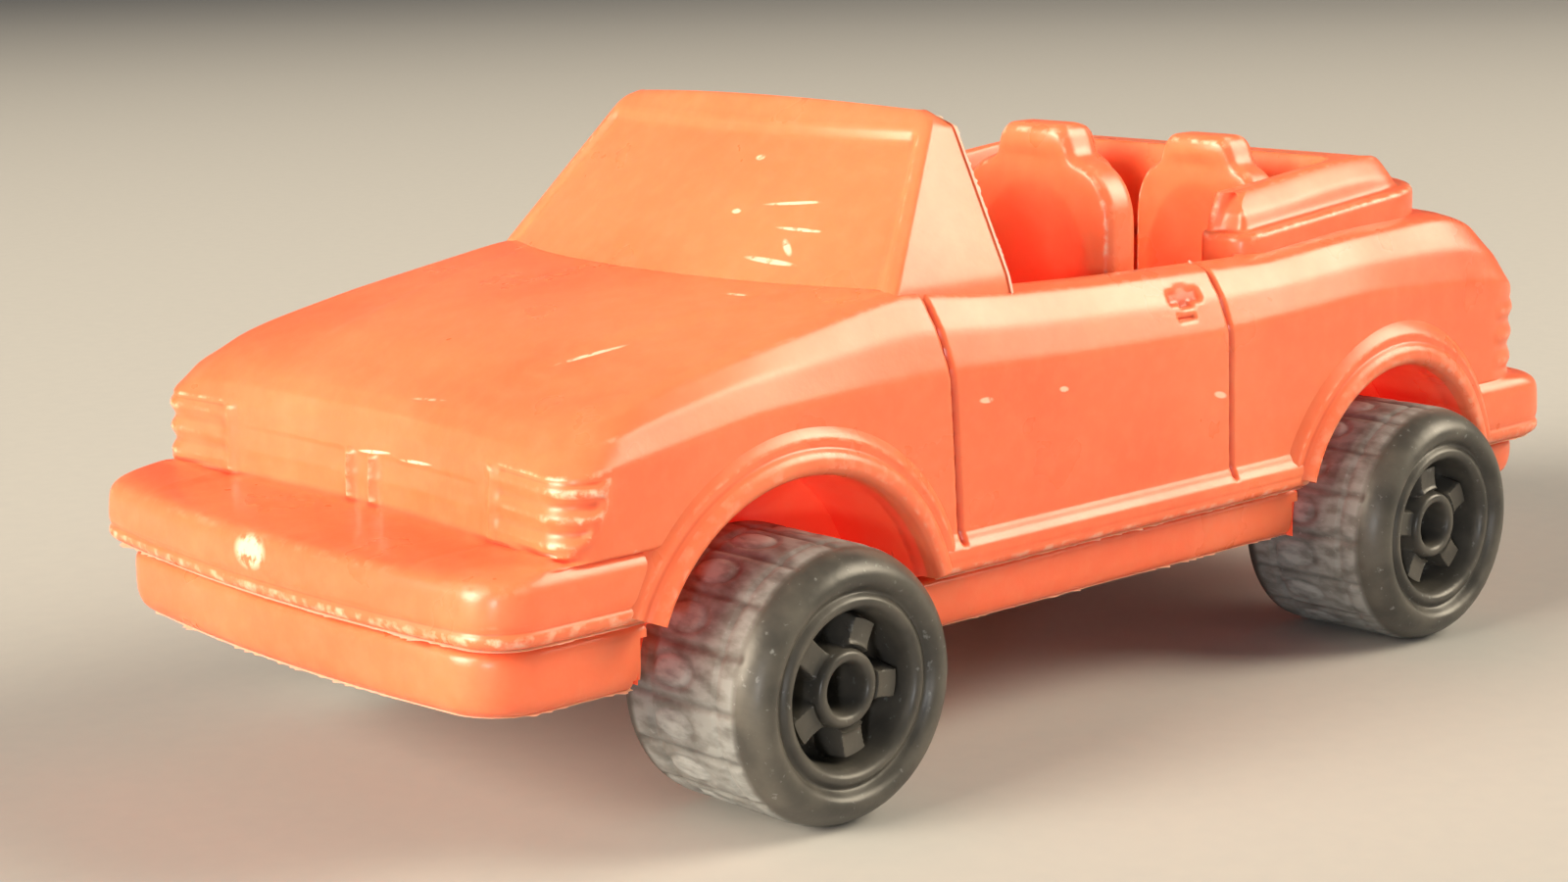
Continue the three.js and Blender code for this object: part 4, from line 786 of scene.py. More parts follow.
def seat_outline(half, shoulder, top):
    """Closed outline of a seat back in y and z: upright sides, bell shoulders, tapered headrest."""
    start = SEAT_FOOT + SHOULDER_START * (shoulder - SEAT_FOOT)
    turn = np.linspace(0, QUARTER, SHOULDER_POINTS)
    bell = np.stack([half - (half - NECK_HALF) * (1 - np.cos(turn)),
                     start + (shoulder - start) * np.sin(turn)], axis=-1)
    rest = [(REST_HALF + 0.2, shoulder + 0.35), (REST_HALF, shoulder + 0.8),
            (REST_TOP_HALF + 0.15, top - 0.5), (REST_TOP_HALF - 0.15, top - 0.12),
            (REST_TOP_HALF - 0.6, top), (0.0, top)]
    foot = [(0.0, SEAT_FOOT), (half - 0.4, SEAT_FOOT), (half, SEAT_FOOT + 0.4)]
    side = soften(resample(np.concatenate([foot, bell, rest]), SEAT_POINTS), 2, 0)
    return np.concatenate([side, side[-2:0:-1] * np.array([-1.0, 1.0])])


def seat_patch(x, y, width, shoulder, top):
    """Seat back: its outline shrunk towards the middle on both faces, with a round hollow in front."""
    outline = seat_outline(width / 2, shoulder, top)
    rise = shoulder - SEAT_FOOT
    middle = np.array([0.0, SEAT_FOOT + SEAT_MIDDLE * rise])
    keys = np.stack([
        np.concatenate([np.full((len(outline), 1), depth), middle + share * (outline - middle)], axis=-1)
        for share, depth, _ in SEAT_RINGS])
    grid = soften(through(keys, [ring[-1] for ring in SEAT_RINGS[:-1]]), 1, 0)
    front = ramp(*SEAT_FACE, grid[..., 0])
    scoop = np.hypot(grid[..., 1] / (SCOOP_WIDE * width),
                     (grid[..., 2] - SEAT_FOOT - SCOOP_MIDDLE * rise) / (SCOOP_RISE * rise))
    grid[..., 0] -= front * SCOOP_DEPTH * np.clip(1 - scoop ** 2, 0, 1) ** SCOOP_POWER
    pillow = front * ramp(shoulder, shoulder + PILLOW_START, grid[..., 2])
    grid[..., 0] += PILLOW_RISE * pillow * (1 - np.clip(np.abs(grid[..., 1]) / REST_HALF, 0, 1) ** 2)
    grid = grid + np.array([x, y, 0.0])
    core = (x - SEAT_THICK / 2, y, middle[1])
    # Painted glow: the middle of the hollow gets a red emission mark.
    hollow = SCOOP_GLOW * front * np.clip(SCOOP_REACH - scoop ** 2, 0, 1)
    seat = Patch(grid, (False, True), inside=core, well=hollow)
    return seat.mark_edges(grid_normals(grid, (False, True), core))


CUSHION_RINGS = ((1.0, SEAT_FOOT, 3), (1.0, CUSHION_TOP - 1.2, 3), (0.97, CUSHION_TOP - 0.4, 3),
                 (0.9, CUSHION_TOP, 4), (0.5, CUSHION_TOP + 0.2, 4), (0.0, CUSHION_TOP + 0.25, 0))
CUSHION_SQUARE, CUSHION_STEPS, CUSHION_CORE = 0.35, 64, 2.0


def cushion_patch(x, y, width, length):
    """Seat cushion: a squared oval |cos|**0.35, |sin|**0.35 drawn in ring by ring."""
    turn = np.linspace(0, 2 * math.pi, CUSHION_STEPS, endpoint=False)
    square = lambda a: np.sign(a) * np.abs(a) ** CUSHION_SQUARE
    outline = np.stack([square(np.cos(turn)) * length / 2, square(np.sin(turn)) * width / 2], axis=-1)
    keys = np.stack([np.concatenate([share * outline, np.full((len(turn), 1), z)], axis=-1)
                     for share, z, _ in CUSHION_RINGS])
    grid = soften(through(keys, [ring[-1] for ring in CUSHION_RINGS[:-1]]), 1, 0)
    return Patch(grid + np.array([x + length / 2, y, 0.0]), (False, True),
                 inside=(x + length / 2, y, SEAT_FOOT - CUSHION_CORE))


# Cockpit pan, in millimetres: plan corners and levels as a share of the outline and a height.
PAN_FRONT, PAN_STEP, PAN_REAR, PAN_HALF, PAN_REAR_HALF = 18.4, -18.6, -34.0, 19.8, 15.0
PAN_LEVELS = ((1.0, 29.6, 2), (0.985, 29.5, 2), (0.96, 29.0, 8), (0.95, 18.2, 2), (0.9, 17.6, 8),
              (0.0, 17.6, 0))
PAN_POINTS, PAN_CORE = 140, np.array([0.0, 0.0, 40.0])
DASH_HALF, DASH_COLUMNS = 19.0, 40
DASH_SECTION = np.array(((11.4, 18.0), (11.2, 29.6), (11.5, 30.4), (12.4, 30.7), (23.0, 30.9)))


def pan_patches():
    """Cockpit pan: its outline lofted down from the rim to the floor, and the dashboard ahead of it."""
    half = resample(np.array([
        (PAN_FRONT, 0.0), (PAN_FRONT, PAN_HALF), (PAN_STEP, PAN_HALF), (PAN_STEP, PAN_REAR_HALF),
        (PAN_REAR, PAN_REAR_HALF), (PAN_REAR, 0.0)]), PAN_POINTS)
    outline = np.concatenate([half, half[-2:0:-1] * np.array([1.0, -1.0])])
    spine = outline * np.array([1.0, 0.0])
    keys = np.stack([
        np.concatenate([spine + share * (outline - spine), np.full((len(outline), 1), z)], axis=-1)
        for share, z, _ in PAN_LEVELS])
    pan = through(keys, [level[-1] for level in PAN_LEVELS[:-1]])
    inward = PAN_CORE - quad_middles(np.concatenate([pan, pan[:, :1]], axis=1))
    section = soften(through(DASH_SECTION, [4, 3, 3, 5]), 1, 0)
    across = np.linspace(-DASH_HALF, DASH_HALF, DASH_COLUMNS)[None, :]
    dash = np.stack(np.broadcast_arrays(section[:, 0:1], across, section[:, 1:2]), axis=-1)
    return [Patch(pan, (False, True), facing=inward), Patch(dash, facing=np.array([-1.0, 0.0, 1.0]))]


# Lower tray from inside the bumpers down and in under the car: heights at the nose, side and tail,
# setback of both ends, half widths at the ends and between, rows to the next level.
TRAY_LEVELS = np.array((
    (15.60, 15.60, 15.60, 3.20, 20.0, 20.5, 3),
    (15.05, 13.30, 12.70, 2.80, 20.4, 20.7, 2),
    (14.90, 13.15, 12.55, 1.50, 21.7, 22.2, 2),
    (14.45, 12.80, 12.20, 1.20, END_SKIRT_HALF, SKIRT_HALF, 5),
    (11.90, 11.00, 11.00, 1.20, END_SKIRT_HALF, SKIRT_HALF, 4),
    (10.95, 9.80, 9.80, 1.50, 21.7, 22.20, 3),
    (10.45, 9.42, 9.42, 2.10, 21.1, 21.70, 3),
    (10.25, TRAY_Z, TRAY_Z, 3.20, 20.0, 20.60, 3),
    (TRAY_Z, TRAY_Z, TRAY_Z, 8.00, 15.0, 15.0, 4),
    (TRAY_Z, TRAY_Z, TRAY_Z, 12.0, 6.0, 6.0, 4),
    (TRAY_Z, TRAY_Z, TRAY_Z, 15.0, 0.05, 0.05, 0),
))
TRAY_FLASH_LEVEL = 6
TRAY_BOWS, TRAY_CORNER = (1.5, 3.0), 4.2
CORNER_SHARE, BOW_SHARE = 0.8, 0.5
TRAY_INSIDE = (0.0, 0.0, 16.0)

# Axle clips under the tray, in millimetres: half length, width, depth below the axle, mouth, bore.
CLIP_HALF, CLIP_INNER, CLIP_OUTER, CLIP_DROP, CLIP_MOUTH, CLIP_BORE = 3.4, 12.3, 15.3, 2.6, 1.1, 1.55
CLIP_ROOT, BORE_POINTS, CLIP_POINTS = 1.0, 24, 40


def tray_patches(flash):
    """Lower tray: plan curves lofted down from inside the bumpers, rounded in under the car."""
    table = TRAY_LEVELS
    ends, middle = table[:, 4], table[:, 5]
    corner = np.minimum(TRAY_CORNER, CORNER_SHARE * ends)
    bows = [np.minimum(bow, BOW_SHARE * ends) for bow in TRAY_BOWS]
    loop = plan_loop(NOSE_X - table[:, 3], TAIL_X + table[:, 3], (ends, middle, ends),
                     (corner, corner), bows)
    z = blend_ends(table[:, 0:1], table[:, 1:2], table[:, 2:3], loop[..., 0])
    keys = np.concatenate([loop, z[..., None]], axis=-1)
    grid = soften(through(keys, table[:-1, -1].astype(int)), 2, 0)
    keep = outside_arches(0.0, WELL_HALF)
    edge = even_loop(keys[TRAY_FLASH_LEVEL])
    clips = [clip_patch(end, side) for end in ENDS for _, side in HANDS]
    return [Patch(grid, (False, True), inside=TRAY_INSIDE, keep=keep),
            flash_patch(edge, plan_out(edge), flash, TRAY_FLASH_SEED, keep)] + clips


def clip_patch(end, side):
    """Snap clip for an axle: an open ring section, square outside and round inside, along y."""
    low, top = AXLE_Z - CLIP_DROP, TRAY_Z + CLIP_ROOT
    throat = math.asin(CLIP_MOUTH / CLIP_BORE)
    bore = arc((0.0, AXLE_Z), CLIP_BORE, -1 - throat / QUARTER, -5 + throat / QUARTER, BORE_POINTS)
    inner = resample(np.concatenate([[(-CLIP_MOUTH, low)], bore, [(CLIP_MOUTH, low)]]), CLIP_POINTS)
    outer = resample(np.array([(-CLIP_MOUTH, low), (-CLIP_HALF, low), (-CLIP_HALF, top), (CLIP_HALF, top),
                               (CLIP_HALF, low), (CLIP_MOUTH, low)]), CLIP_POINTS)
    rows = [(outer, CLIP_INNER), (outer, CLIP_OUTER), (inner, CLIP_OUTER), (inner, CLIP_INNER)]
    grid = np.stack([np.stack([AXLE_X[end] + path[:, 0], np.full(len(path), side * y), path[:, 1]], axis=-1)
                     for path, y in rows])
    return Patch(grid, (True, False), inside=(AXLE_X[end], side * 0.5 * (CLIP_INNER + CLIP_OUTER), top))


# Section of a wheel: radius, distance out from its inner face.
WHEEL_PROFILE = np.array((
    (1.6, -1.1), (8.4, -1.1), (8.9, -1.0), (9.22, -0.6), (9.3, 0.0), (9.3, 8.9), (9.26, 9.6), (9.05, 10.4),
    (8.6, 11.2), (8.0, 11.75), (7.4, 11.9), (6.95, 11.7), (6.65, 11.25), (6.45, 11.1), (6.25, 11.3),
    (6.0, 11.55), (5.6, 11.5), (5.3, 11.1), (5.15, 10.4), (5.05, 8.6), (4.8, 8.1), (4.3, 8.0), (3.2, 8.0),
    (2.9, 8.15), (2.75, 9.2), (2.6, 10.5), (2.4, 10.8), (1.95, 10.8), (1.7, 10.5), (1.62, 9.8), (1.6, 7.0)))
WHEEL_ROWS = [3] * 4 + [40] + [3] * (len(WHEEL_PROFILE) - 6)
WHEEL_STEPS = 320
TYRE_RADIUS = WHEEL_PROFILE[:, 0].max()
TREAD_COUNT, TREAD_LOW, TREAD_HIGH, TREAD_SOFT, TREAD_RADII = 16, -0.3, 10.2, 0.6, (9.1, 9.25)

# Tread, in millimetres: width of a groove, middle and half sizes of the oval on a pad, width and depth of
# its rim, and the places and width of the two lines round the wheel.
GROOVE_WIDTH = 0.26
OVAL_Y, OVAL_ALONG, OVAL_ACROSS, OVAL_RIM, OVAL_DEPTH = 3.9, 1.1, 1.9, 0.16, 0.14
ROUND_LINES, LINE_WIDTH, LINE_DEPTH = (1.9, 8.3), 0.18, 0.14

# Paleness of the tread: rubbed wear all over, a painted highlight added on the oval, less on its rim, share
# lost in a groove.
WEAR_PLAIN, OVAL_HIGHLIGHT, WEAR_RIM, WEAR_GROOVE, WEAR_EDGE = 0.62, 0.38, 0.15, 0.5, (1.15, 0.75)

# Lugs in the dish: half width, height, soft edge, and the radii and depths between which they stand.
LUG_COUNT, LUG_HALF, LUG_HEIGHT, LUG_SOFT = 5, 1.1, 2.3, 0.2
LUG_INNER, LUG_OUTER, LUG_FLOOR, LUG_TOP = (2.6, 2.95), (5.0, 4.6), (7.0, 7.8), (10.5, 9.5)
LUG_TURN = {"front": math.radians(-25), "rear": math.radians(8)}
WHEEL_MIDDLE, DISH_RADIUS = 4.0, 6.8


def wheel_patches(end, side, groove_depth):
    """One wheel: its section turned about the axle, with tread grooves, oval pads and five lugs."""
    profile = soften(through(WHEEL_PROFILE, WHEEL_ROWS), 2, 0)
    turn = np.linspace(0, 2 * math.pi, WHEEL_STEPS, endpoint=False)[None, :]
    r, y = profile[:, 0:1], profile[:, 1:2]
    pitch = 2 * math.pi / TREAD_COUNT
    phase = (turn / pitch) % 1.0 - 0.5
    across = phase * pitch * TYRE_RADIUS
    tread = (ramp(*TREAD_RADII, r) * ramp(TREAD_LOW, TREAD_LOW + TREAD_SOFT, y)
             * ramp(TREAD_HIGH, TREAD_HIGH - TREAD_SOFT, y))
    groove = bump(np.abs(across) - 0.5 * pitch * TYRE_RADIUS, GROOVE_WIDTH)
    oval = np.hypot(across / OVAL_ALONG, (y - OVAL_Y) / OVAL_ACROSS)
    rim_line = bump(oval - 1.0, OVAL_RIM)
    lines = sum(bump(y - place, LINE_WIDTH) for place in ROUND_LINES)
    depth = tread * (groove_depth * groove + LINE_DEPTH * lines + OVAL_DEPTH * rim_line)
    lug_pitch = 2 * math.pi / LUG_COUNT
    lug_phase = ((turn - LUG_TURN[end]) / lug_pitch + 0.5) % 1.0 - 0.5
    off_middle = np.abs(lug_phase) * lug_pitch * np.maximum(r, LUG_INNER[0])
    lug = ramp(LUG_HALF + LUG_SOFT, LUG_HALF - LUG_SOFT, off_middle)
    on_floor = ramp(*LUG_INNER, r) * ramp(*LUG_OUTER, r) * ramp(*LUG_FLOOR, y) * ramp(*LUG_TOP, y)
    y_out = np.broadcast_to(y + LUG_HEIGHT * lug * on_floor, (len(profile), WHEEL_STEPS))
    r_out = r - depth
    grid = np.stack([AXLE_X[end] + r_out * np.sin(turn), side * (WHEEL_INNER + y_out),
                     AXLE_Z + r_out * np.cos(turn)], axis=-1)
    # Rubbed wear all over the tread, plus a painted highlight inside each pad's oval.
    rubbed = np.clip(WEAR_PLAIN + OVAL_HIGHLIGHT * ramp(*WEAR_EDGE, oval) - WEAR_RIM * rim_line, 0, 1)
    wear = tread * rubbed * (1 - WEAR_GROOVE * groove)
    middle = np.array([AXLE_X[end], side * (WHEEL_INNER + WHEEL_MIDDLE), AXLE_Z])
    away = quad_middles(np.concatenate([grid, grid[:, :1]], axis=1)) - middle
    on_tyre = np.hypot(away[..., 0], away[..., 2]) > DISH_RADIUS
    return [Patch(grid, (False, True), facing=away * on_tyre[..., None], wear=wear)]


def linear(colour):
    """Linear RGB of an sRGB hex colour such as "#E8472C"."""
    parts = np.array([int(colour[k:k + 2], 16) for k in (1, 3, 5)]) / 255.0
    flat = np.where(parts <= 0.04045, parts / 12.92, ((parts + 0.055) / 1.055) ** 2.4)
    return tuple(flat.tolist())


def add_node(tree, kind, inputs=None, give=None, **settings):
    """One shader node with its settings; each input gets a value or a link, and one output comes back."""
    node = tree.nodes.new(kind)
    for name, value in settings.items():
        setattr(node, name, value)
    free = [socket for socket in node.inputs if socket.enabled]
    for key, value in (inputs or {}).items():
        socket = free[key] if isinstance(key, int) else next(s for s in free if s.name == key)
        if isinstance(value, bpy.types.NodeSocket):
            tree.links.new(value, socket)
        elif socket.type == "RGBA":
            socket.default_value = (*value, 1.0)
        else:
            socket.default_value = value
    return next(s for s in node.outputs if s.enabled and give in (None, s.name))


def new_material(name, finish):
    """A material whose shader sockets get the values and links that finish(tree) returns."""
    material = bpy.data.materials.new(name)
    material.use_nodes = True
    tree = material.node_tree
    sockets = tree.nodes["Principled BSDF"].inputs
    for socket, value in finish(tree).items():
        if isinstance(value, bpy.types.NodeSocket):
            tree.links.new(value, sockets[socket])
        else:
            sockets[socket].default_value = value
    return material


# Rubbed and scratched places on the red plastic, in millimetres: start, end, half width across and
# half width up.
SCRATCHES = (
    ((57.8, -1.2, 18.3), (57.8, 0.2, 18.3), 1.5, 1.3),
    ((23.1, 9.0, 34.7), (22.3, 13.4, 34.4), 1.5, 0.2), ((20.1, 7.3, 37.9), (18.5, 13.1, 38.4), 1.5, 0.13),
    ((21.0, 9.8, 36.6), (20.0, 14.0, 36.5), 1.5, 0.13), ((21.5, 11.0, 35.9), (21.9, 12.3, 35.0), 1.5, 0.2),
    ((17.1, 3.8, 40.8), (17.1, 4.5, 40.8), 1.5, 0.22), ((20.8, 5.2, 37.4), (20.8, 5.8, 37.4), 1.5, 0.2),
    ((42.1, 12.3, 30.0), (37.5, 13.9, 30.9), 0.3, 1.5), ((27.3, 11.8, 32.6), (26.9, 13.8, 32.7), 0.25, 1.5),
    ((47.8, 3.1, 28.6), (47.3, 7.9, 28.7), 0.18, 1.5), ((49.1, 4.4, 23.7), (49.2, 8.2, 23.9), 1.5, 0.14),
    ((49.0, -0.8, 23.6), (49.0, 3.5, 24.0), 1.5, 0.14), ((14.7, 23.8, 25.3), (13.6, 23.8, 25.2), 0.8, 0.25),
    ((6.6, 23.8, 25.0), (6.0, 23.8, 24.9), 0.8, 0.25), ((-10.5, 23.8, 22.3), (-11.6, 23.8, 22.0), 0.8, 0.3),
)


POLYETHYLENE_IOR, BLACK_PLASTIC_IOR = 1.51, 1.5
SOAK_DEPTH, SOAK_COLOURS = 1.4 * MM, (1.0, 0.28, 0.12)
OXIDE, PAPER, PAPER_GRAIN = "#9C9A97", "#B2B3B4", "#B9B9B8"
PAPER_ROUGHNESS = 0.85


def red_plastic(tree, look):
    """Orange-red polyethylene from a polished mould.

    Light soaks in a little, so shadows stay warm; trimmed edges and scratches turn pale and dull.
    Wheel wells and seat hollows get a painted red glow, and grooves a painted shade.
    """
    place = add_node(tree, "ShaderNodeTexCoord", give="Object")
    bend = add_node(tree, "ShaderNodeAttribute", give="Fac", attribute_name="bend")
    well = add_node(tree, "ShaderNodeAttribute", give="Fac", attribute_name="well")
    # Slow drift of the pigment over 25 mm, as in a thick soft moulding.
    drift = add_node(tree, "ShaderNodeTexNoise", {"Vector": place, "Scale": 1 / (25 * MM), "Detail": 2.0})
    drift = add_node(tree, "ShaderNodeMapRange", {"Value": drift, "From Min": 0.35, "From Max": 0.65})
    colour = add_node(tree, "ShaderNodeMix", {
        "Factor": drift, "A": look.body_colour, "B": look.body_deep}, data_type="RGBA")
    # Faint clouds of 1.6 mm from the mould skin.
    cloud = add_node(tree, "ShaderNodeTexNoise", {"Vector": place, "Scale": 1 / (1.6 * MM), "Detail": 4.0})
    cloud = add_node(tree, "ShaderNodeMapRange", {
        "Value": cloud, "From Min": 0.42, "From Max": 0.7, "To Max": 0.14})
    colour = add_node(tree, "ShaderNodeMix", {
        "Factor": cloud, "A": colour, "B": look.body_pale}, data_type="RGBA")
    # Feathery whitening of 0.9 mm where an edge was trimmed and rubbed.
    ragged = add_node(tree, "ShaderNodeTexNoise", {"Vector": place, "Scale": 1 / (0.9 * MM), "Detail": 6.0})
    torn = add_node(tree, "ShaderNodeMapRange", {"Value": ragged, "From Min": 0.47, "From Max": 0.64})
    worn = add_node(tree, "ShaderNodeMapRange", {"Value": bend, "From Min": 0.7, "From Max": 2.2})
    flash = add_node(tree, "ShaderNodeMapRange", {"Value": bend, "From Min": 4.0, "From Max": 5.5})
    frayed = add_node(tree, "ShaderNodeMath", {0: torn, 1: flash}, operation="MAXIMUM")
    pale = add_node(tree, "ShaderNodeMath", {0: worn, 1: frayed}, operation="MULTIPLY")
    # Single scratches and rubbed patches.
    broken = add_node(tree, "ShaderNodeMapRange", {"Value": ragged, "From Min": 0.38, "From Max": 0.5})
    for start, end, across, up in SCRATCHES:
        run = np.subtract(end, start)
        length = float(np.linalg.norm(run))
        local = add_node(tree, "ShaderNodeMapping", {
            "Vector": place, "Location": (0.5 * MM * np.add(start, end)).tolist(),
            "Rotation": (0.0, -math.asin(run[2] / length), math.atan2(run[1], run[0])),
            "Scale": (MM * (0.5 * length + min(across, up)), MM * across, MM * up)}, vector_type="TEXTURE")
        reach = add_node(tree, "ShaderNodeVectorMath", {0: local}, give="Value", operation="LENGTH")
        reach = add_node(tree, "ShaderNodeMapRange", {"Value": reach, "From Min": 1.0, "From Max": 0.6})
        mark = add_node(tree, "ShaderNodeMath", {0: reach, 1: broken}, operation="MULTIPLY")
        pale = add_node(tree, "ShaderNodeMath", {0: pale, 1: mark}, operation="MAXIMUM")
    pale = add_node(tree, "ShaderNodeMath", {0: pale, 1: look.scuffs}, operation="MULTIPLY")
    colour = add_node(tree, "ShaderNodeMix", {
        "Factor": pale, "A": colour, "B": look.body_white}, data_type="RGBA")
    # Grooves hold a little dirt.
    # Painted shade: grooves, creases, shut lines and handle recesses are mixed towards a darker red.
    groove = add_node(tree, "ShaderNodeMapRange", {
        "Value": bend, "From Min": -0.6, "From Max": -3.0, "To Max": 0.75})
    colour = add_node(tree, "ShaderNodeMix", {
        "Factor": groove, "A": colour, "B": look.body_groove_shade}, data_type="RGBA")
    # Handling leaves smears of 7 mm that are a little duller than the mould's polish.
    smear = add_node(tree, "ShaderNodeTexNoise", {"Vector": place, "Scale": 1 / (7 * MM), "Detail": 4.0})
    smear = add_node(tree, "ShaderNodeMapRange", {
        "Value": smear, "From Min": 0.3, "From Max": 0.7, "To Min": 0.26, "To Max": 0.36})
    roughness = add_node(tree, "ShaderNodeMath", {0: pale, 1: 0.2, 2: smear}, operation="MULTIPLY_ADD")
    # Grain of 0.4 mm, coarser than the real one so that it shows.
    grain = add_node(tree, "ShaderNodeTexNoise", {"Vector": place, "Scale": 1 / (0.4 * MM), "Detail": 3.0})
    grain = add_node(tree, "ShaderNodeMath", {0: pale, 1: 0.6, 2: grain}, operation="MULTIPLY_ADD")
    normal = add_node(tree, "ShaderNodeBump", {"Strength": 0.12, "Distance": 0.08 * MM, "Height": grain})
    # Painted glow: a deep red emission on the wheel wells and seat hollows, standing in for daylight
    # through their thin walls.
    painted_glow_strength = add_node(tree, "ShaderNodeMath", {0: well, 1: look.painted_glow_share}, operation="MULTIPLY")
    return {"Base Color": colour, "Roughness": roughness, "Normal": normal, "IOR": POLYETHYLENE_IOR,
            "Emission Color": (*look.painted_glow_colour, 1.0), "Emission Strength": painted_glow_strength,
            "Subsurface Weight": look.glow, "Subsurface Radius": SOAK_COLOURS,
            "Subsurface Scale": SOAK_DEPTH}


def black_plastic(tree, look):
    """Black plastic from a satin mould: dull grey sheen, rubbed pale on the tread with a painted highlight
    on each pad's oval, dusty in the dish.
    """
    place = add_node(tree, "ShaderNodeTexCoord", give="Object")
    wear = add_node(tree, "ShaderNodeAttribute", give="Fac", attribute_name="wear")
    # Clouds of 3 mm between the fresh and the handled surface.
    cloud = add_node(tree, "ShaderNodeTexNoise", {"Vector": place, "Scale": 1 / (3 * MM), "Detail": 4.0})
    cloud = add_node(tree, "ShaderNodeMapRange", {"Value": cloud, "From Min": 0.35, "From Max": 0.7})
    colour = add_node(tree, "ShaderNodeMix", {
        "Factor": cloud, "A": look.wheel_colour, "B": look.wheel_handled}, data_type="RGBA")
    # Rubbing in short strokes of 0.9 mm round the tread.
    along = add_node(tree, "ShaderNodeMapping", {"Vector": place, "Scale": (1.0, 0.45, 1.0)})
    strokes = add_node(tree, "ShaderNodeTexNoise", {
        "Vector": along, "Scale": 1 / (0.9 * MM), "Detail": 5.0})
    strokes = add_node(tree, "ShaderNodeMapRange", {
        "Value": strokes, "From Min": 0.34, "From Max": 0.6, "To Min": 0.35})
    # The tread's paleness: rubbed wear, and a painted highlight on the pads' ovals.
    rubbed = add_node(tree, "ShaderNodeMath", {0: wear, 1: strokes}, operation="MULTIPLY")
    colour = add_node(tree, "ShaderNodeMix", {
        "Factor": rubbed, "A": colour, "B": look.tread_colour}, data_type="RGBA")
    # Specks of dust of 0.5 mm.
    dust = add_node(tree, "ShaderNodeTexNoise", {"Vector": place, "Scale": 1 / (0.5 * MM), "Detail": 3.0})
    dust = add_node(tree, "ShaderNodeMapRange", {
        "Value": dust, "From Min": 0.66, "From Max": 0.76, "To Max": 0.35})
    colour = add_node(tree, "ShaderNodeMix", {
        "Factor": dust, "A": colour, "B": look.tread_colour}, data_type="RGBA")
    satin = add_node(tree, "ShaderNodeMapRange", {"Value": cloud, "To Min": 0.34, "To Max": 0.46})
    roughness = add_node(tree, "ShaderNodeMath", {0: rubbed, 1: 0.25, 2: satin}, operation="MULTIPLY_ADD")
    normal = add_node(tree, "ShaderNodeBump", {"Strength": 0.15, "Distance": 0.1 * MM, "Height": strokes})
    return {"Base Color": colour, "Roughness": roughness, "Normal": normal,
            "IOR": BLACK_PLASTIC_IOR}


def drawn_steel(tree, look):
    """Drawn steel pin: bright grey metal with fine lines along the pin and a dull oxide cast."""
    place = add_node(tree, "ShaderNodeTexCoord", give="Object")
    # Draw lines of 0.3 mm, stretched along the pin.
    along = add_node(tree, "ShaderNodeMapping", {"Vector": place, "Scale": (1.0, 0.05, 1.0)})
    lines = add_node(tree, "ShaderNodeTexNoise", {"Vector": along, "Scale": 1 / (0.3 * MM), "Detail": 4.0})
    roughness = add_node(tree, "ShaderNodeMapRange", {
        "Value": lines, "From Min": 0.3, "From Max": 0.7, "To Min": 0.24, "To Max": 0.42})
    # Oxide in clouds of 4 mm.
    cast = add_node(tree, "ShaderNodeTexNoise", {"Vector": place, "Scale": 1 / (4 * MM), "Detail": 3.0})
    cast = add_node(tree, "ShaderNodeMapRange", {"Value": cast, "From Min": 0.4, "From Max": 0.7})
    colour = add_node(tree, "ShaderNodeMix", {
        "Factor": cast, "A": look.pin_colour, "B": linear(OXIDE)}, data_type="RGBA")
    return {"Base Color": colour, "Roughness": roughness, "Metallic": 1.0}


def floor_paper(tree, look):
    """Matt studio paper: a soft even grey with a faint grain of 2 mm."""
    place = add_node(tree, "ShaderNodeTexCoord", give="Object")
    grain = add_node(tree, "ShaderNodeTexNoise", {"Vector": place, "Scale": 1 / (2 * MM), "Detail": 5.0})
    colour = add_node(tree, "ShaderNodeMix", {
        "Factor": grain, "A": linear(PAPER), "B": linear(PAPER_GRAIN)}, data_type="RGBA")
    return {"Base Color": colour, "Roughness": PAPER_ROUGHNESS}


FINISHES = {
    "moulded_polyethylene_red": red_plastic,
    "moulded_plastic_black": black_plastic,
    "drawn_steel": drawn_steel,
    "studio_floor_paper": floor_paper,
}


def material(name, scene):
    """The material of that name, made at its first use."""
    look = scene.toy_convertible_look
    return bpy.data.materials.get(name) or new_material(name, lambda tree: FINISHES[name](tree, look))


def colour_setting(name, description, default):
    """A colour setting with an sRGB hex default."""
    return FloatVectorProperty(name=name, description=description, default=linear(default), size=3,
                               min=0.0, max=1.0, subtype="COLOR")


def share_setting(name, description, default):
    """A setting between nothing and all."""
    return FloatProperty(name=name, description=description, default=default, min=0.0, max=1.0,
                         subtype="FACTOR")


def length_setting(name, description, default):
    """A length with its default in millimetres."""
    return FloatProperty(name=name, description=description, default=default * MM, precision=5,
                         subtype="DISTANCE", unit="LENGTH")


def angle_setting(name, description, default):
    """An angle with its default in degrees."""
    return FloatProperty(name=name, description=description, default=math.radians(default),
                         subtype="ANGLE", unit="ROTATION")


class ToyConvertibleSizes(bpy.types.PropertyGroup):
    flash: length_setting("Flash", "Longest tear of the moulding flash", 1.1)
    shut_line: length_setting("Shut line", "Depth of the lines round the doors", 0.35)
    glass: length_setting("Glass", "Depth of the windscreen's pane behind its frame", 0.34)
    tread: length_setting("Tread", "Depth of the grooves across the tread", 0.2)


